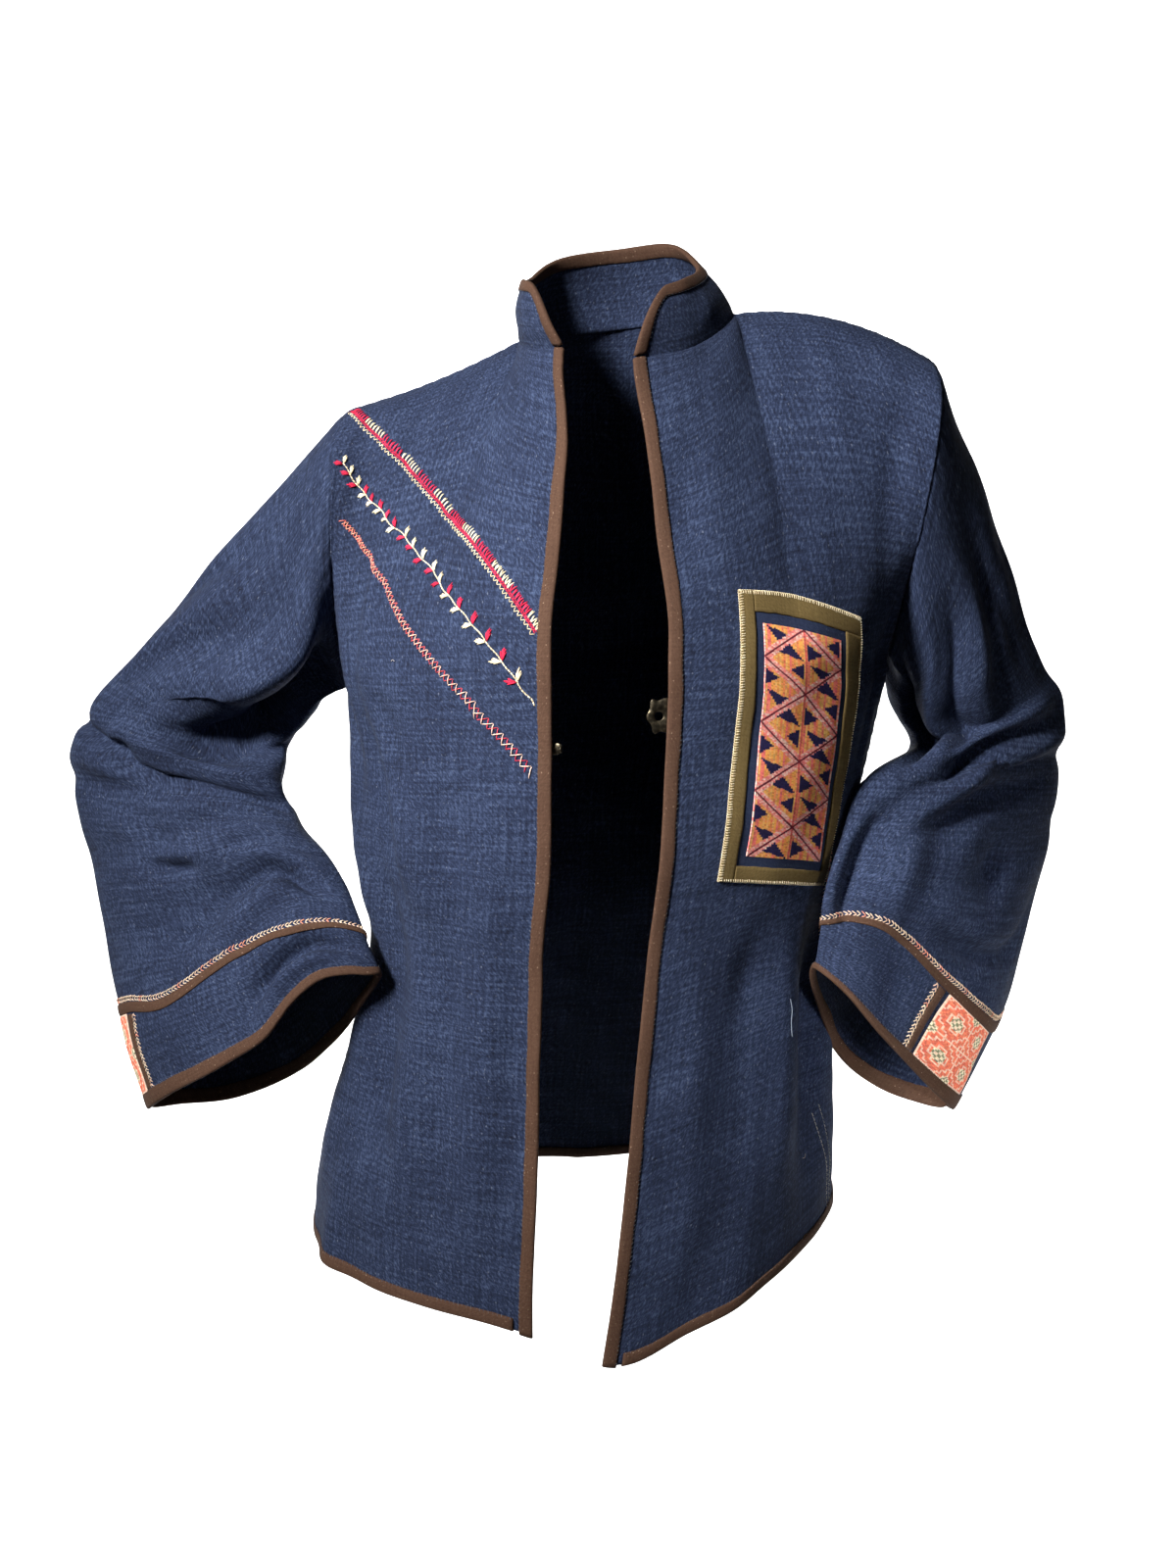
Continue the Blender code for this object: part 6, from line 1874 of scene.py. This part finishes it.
for name, line in (
    ("frame_left", lambda t, s: (between(FRAME_LEFT, t) * s, t)),
    ("frame_right", lambda t, s: (1 - (1 - between(FRAME_RIGHT, t)) * (1 - s),
                                  FRAME_TOP + (1 - FRAME_TOP) * t)),
    ("frame_top", lambda t, s: (FRAME_LEFT[0] + (1 - FRAME_LEFT[0]) * t, FRAME_TOP * s)),
    ("frame_bottom", lambda t, s: (FRAME_LEFT[1] + (FRAME_RIGHT[1] - FRAME_LEFT[1]) * t,
                                   FRAME_BOTTOM + (1 - FRAME_BOTTOM) * s)),
):
    t = np.linspace(0, 1, 100)
    wander = 0.012 * np.sin(t * 19) + 0.010 * np.sin(t * 47 + 1)
    inner, outer = (1 + wander, 0 * t) if name in ("frame_left", "frame_top") else (wander * 0.7, 1 + 0 * t)
    low = on_panel(*np.broadcast_arrays(*line(t, outer)))
    high = on_panel(*np.broadcast_arrays(*line(t, inner)))
    strip = laid(name, low, high, olive_cloth, crown=0.0003, layers=9, cloth=0.0017)
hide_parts("panel_olive_border")

pick = np.random.default_rng(72)
offsets, places, tint = [], [], []
for start, end, weight in (((0, 1), (0, 0), 1.0), ((0, 0), (1, 0), 1.0), ((1, 0), (1, 1), 0.55),
                           ((1, 1), (0, 1), 0.8)):
    t = np.linspace(0, 1, 60)
    a, b = start[0] + (end[0] - start[0]) * t, start[1] + (end[1] - start[1]) * t
    there = stations(panel_face, a, b, 0.00165)
    count = len(there[0])
    jitter = pick.normal(0, 0.00015, (count, 3))
    root = np.column_stack([jitter[:, 0], np.full(count, 0.0002)])
    tip = np.column_stack([jitter[:, 0] + 0.0004, -0.0023 * weight - np.abs(jitter[:, 1])])
    over = straight(root, tip, 0.0022, 5)
    over[:, 0, 2] = 0.0003
    over[:, -1, 2] = 0.0021
    rim = straight(np.column_stack([np.full(count, -0.0009), np.full(count, 0.0001)]),
                   np.column_stack([np.full(count, 0.0009), np.full(count, 0.0003)]), 0.0012, 5)
    offsets += [over, rim]
    places += [there, there]
    tint += [choose(CREAM_FLOSS, count, 73), choose(CREAM_FLOSS, count, 74)]
points, facing = sew(panel_face, *np.concatenate(places, axis=1), np.concatenate(offsets),
                     panel_face(*np.concatenate(places, axis=1)[:2]) * [0, 0, 1])
edge_stitches = threads("frame_blanket_stitch", points, facing, 0.00025, np.concatenate(tint), thread_floss)
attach(edge_stitches, "root")


# ---- Side stitching and loose threads ----------------------------------------------------------
# The left side seam is oversewn in coral floss below the panel, and two pale rows of running stitch
# close its foot. Three loose threads lie on the hemp.

SIDE_ROWS = (
    # colour, radius, stitch length, pitch, places on the left front
    ((0.45, 0.42, 0.36), 0.00030, 0.0032, 0.0038,
     ((0.715, 0.215), (0.762, 0.130), (0.790, 0.070), (0.796, 0.012))),
    ((0.40, 0.38, 0.34), 0.00026, 0.0030, 0.0036,
     ((0.750, 0.225), (0.796, 0.135), (0.824, 0.070), (0.828, 0.012))),
)
LOOSE_THREADS = (
    # side, colour, radius, places as (across, rise)
    ("left", (0.34, 0.40, 0.50), 0.00022, ((0.500, 0.470), (0.506, 0.450), (0.500, 0.430), (0.505, 0.405))),
    ("left", (0.60, 0.50, 0.44), 0.00018, ((0.640, 0.150), (0.652, 0.148), (0.660, 0.153))),
    ("right", (0.55, 0.50, 0.45), 0.00018, ((0.420, 1.115), (0.428, 1.119), (0.433, 1.114))),
)

surface = front["left"]
line = smooth_line(((0.665, 0.700), (0.715, 0.632), (0.762, 0.568), (0.812, 0.505), (0.850, 0.440)), 20)
feather("side_feather_stitch", surface, line[:, 0], line[:, 1], body_axis(surface), 81)
for number, (colour, radius, stitch, pitch, places) in enumerate(SIDE_ROWS):
    line = smooth_line(places, 20)
    there = stations(surface, line[:, 0], line[:, 1], pitch)
    count = len(there[0])
    end = np.tile([stitch / 2, 0.0], (count, 1))
    offsets = straight(-end, end, 0.0006)
    points, facing = sew(surface, *there, offsets, body_axis(surface)(there[0], there[1]))
    row = threads(f"side_running_stitch_{number + 1}", points, facing, radius, np.tile(colour, (count, 1)),
                  thread_floss)
    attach(row, "root")
for number, (side, colour, radius, places) in enumerate(LOOSE_THREADS):
    surface = front[side]
    line = smooth_line(places, 10)
    points = surface(line[:, 0], line[:, 1])
    facing = unit(points - body_axis(surface)(line[:, 0], line[:, 1]))
    made = threads(f"loose_thread_{number + 1}", (points + facing * 0.0006)[None], facing[None], radius,
                   [colour], thread_floss, 6, 1.0)
    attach(made, "root")


# ---- Clasp -------------------------------------------------------------------------------------
# A hook and eye of dark brass at the waist, undone. The eye plate is sewn behind the left front edge
# and stands past it; the hook is sewn behind the right edge and only its tip shows.

CLASP_RISE = {"left": 0.965, "right": 0.925}
CLASP_SHEET = 0.0011           # thickness of the plate
CLASP_BEHIND = 0.0031          # from the cloth's outer face back to the plate
EYE_MIDDLE = 0.0062            # of the eye, out past the front edge

dark_brass, tree, shader = finish_nodes("dark_brass", 0.42)
shader.inputs["Metallic"].default_value = 1.0
where = tree.nodes.new("ShaderNodeTexCoord").outputs["Object"]
wear = noise_node(tree, where, 420.0, 4.0)
tree.links.new(ramp_node(tree, wear, ((0.25, (0.030, 0.025, 0.018)), (0.55, (0.085, 0.070, 0.048)),
                                      (0.85, (0.300, 0.240, 0.150)))), shader.inputs["Base Color"])
bump_node(tree, shader, wear, 0.0003)


def clasp_frame(side):
    """Corner of the clasp: a point of the front edge, and the ways in along the cloth, up and out."""
    surface, rise = front[side], CLASP_RISE[side]
    point = surface(0.0, rise)
    inward = unit(surface(0.05, rise) - point)
    out = panel_normals(side, np.array(0.03), np.array(rise))
    return point, inward, unit(np.cross(out, inward)), out


def metal(name, layers, ring):
    """A closed solid from rows of corners: each row is one station, and its corners go round the section."""
    count, corners = layers.shape[:2]
    quads = tube_quads(count, corners, ring)
    made = new_mesh(name, layers.reshape(-1, 3), quads, dark_brass)
    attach(made, "root")
    return made


point, inward, up, out = clasp_frame("left")
turn = np.linspace(0, 2 * math.pi, 97)[:-1]
reach = 0.0078 + 0.0020 * np.cos(3 * turn) ** 2
stretch = np.where(np.cos(turn) > 0, 1.5, 0.8)
outer = np.stack([reach * np.cos(turn) * stretch, reach * np.sin(turn) * 1.25], -1)
hole = 0.0028 * np.stack([np.cos(turn), np.sin(turn)], -1)
corners = []
for share, depth in ((1.0, 0.25), (1.0, 0.85), (0.95, 1.0), (0.5, 1.0), (0.05, 1.0), (0.0, 0.85), (0.0, 0.25),
                     (0.05, 0.0), (0.5, -0.12), (0.95, 0.0)):
    flat = hole * (1 - share) + outer * share
    behind = out * (CLASP_BEHIND + CLASP_SHEET * depth)
    corners.append(point + inward * (flat[:, :1] - EYE_MIDDLE) + up * flat[:, 1:] - behind)
eye = metal("clasp_eye_plate", np.stack(corners, 1), True)
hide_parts("clasp_eye")

point, inward, up, out = clasp_frame("right")
path = smooth_line(((0.0090, 0.0), (0.0030, 0.0), (-0.0030, 0.0), (-0.0056, 0.0006), (-0.0068, 0.0022),
                    (-0.0060, 0.0038)), 8)
along = unit(np.gradient(path, axis=0))
normal = np.stack([along[:, 1], -along[:, 0]], -1)
half = np.interp(np.linspace(0, 1, len(path)), (0, 0.4, 0.7, 1), (0.0044, 0.0038, 0.0026, 0.0016))[:, None]
corners = []
for width, depth in ((0.82, 0.0), (1.0, 0.3), (1.0, 0.7), (0.82, 1.0), (-0.82, 1.0), (-1.0, 0.7), (-1.0, 0.3),
                     (-0.82, 0.0)):
    flat = path - normal * CLASP_SHEET * depth
    corners.append(point + inward * flat[:, :1] + out * (flat[:, 1:] - 0.0032) + up * half * width)
hook = metal("clasp_hook_plate", np.stack(corners, 1), False)
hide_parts("clasp_hook")


# ---- Cloth sizes -------------------------------------------------------------------------------
# What each sheet of hemp was cut to before it was sewn and worn, and the trims that go with it.

shown = bpy.data.objects
SHEETS = (
    # piece, flat width and length, area, trims sewn to it
    ("cloth_front_right", (0.28, 0.70), 0.144,
     ("binding_front_right", "line_upper_blanket", "line_upper_chain", "line_upper_zigzag", "line_leaf_stem",
      "line_leaf_leaves", "line_lower_herringbone", "loose_thread_3")),
    ("cloth_front_left", (0.28, 0.70), 0.141,
     ("binding_front_left", "panel_navy", "panel_field_stitches", "frame_left", "frame_right", "frame_top",
      "frame_bottom", "frame_blanket_stitch", "side_feather_stitch", "side_running_stitch_1",
      "side_running_stitch_2", "loose_thread_1", "loose_thread_2")),
    ("cloth_back", (0.52, 0.71), 0.303, ("binding_hem",)),
    ("cloth_sleeve_right", (0.42, 0.62), 0.172,
     ("binding_cuff_right", "band_right", "strip_right", "patch_right", "feather_band_right",
      "feather_strip_right")),
    ("cloth_sleeve_left", (0.42, 0.62), 0.172,
     ("binding_cuff_left", "band_left", "strip_left", "patch_left", "feather_band_left",
      "feather_strip_left")),
    ("cloth_collar", (0.34, 0.050), 0.016, ("binding_collar", "binding_stitches")),
)
for name, flat, area, trims in SHEETS:
    [shown[trim] for trim in trims]

low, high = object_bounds()
({"cad": [[float(v) for v in corner] for corner in cad_box],
           "visual": [[float(v) for v in low], [float(v) for v in high]]})
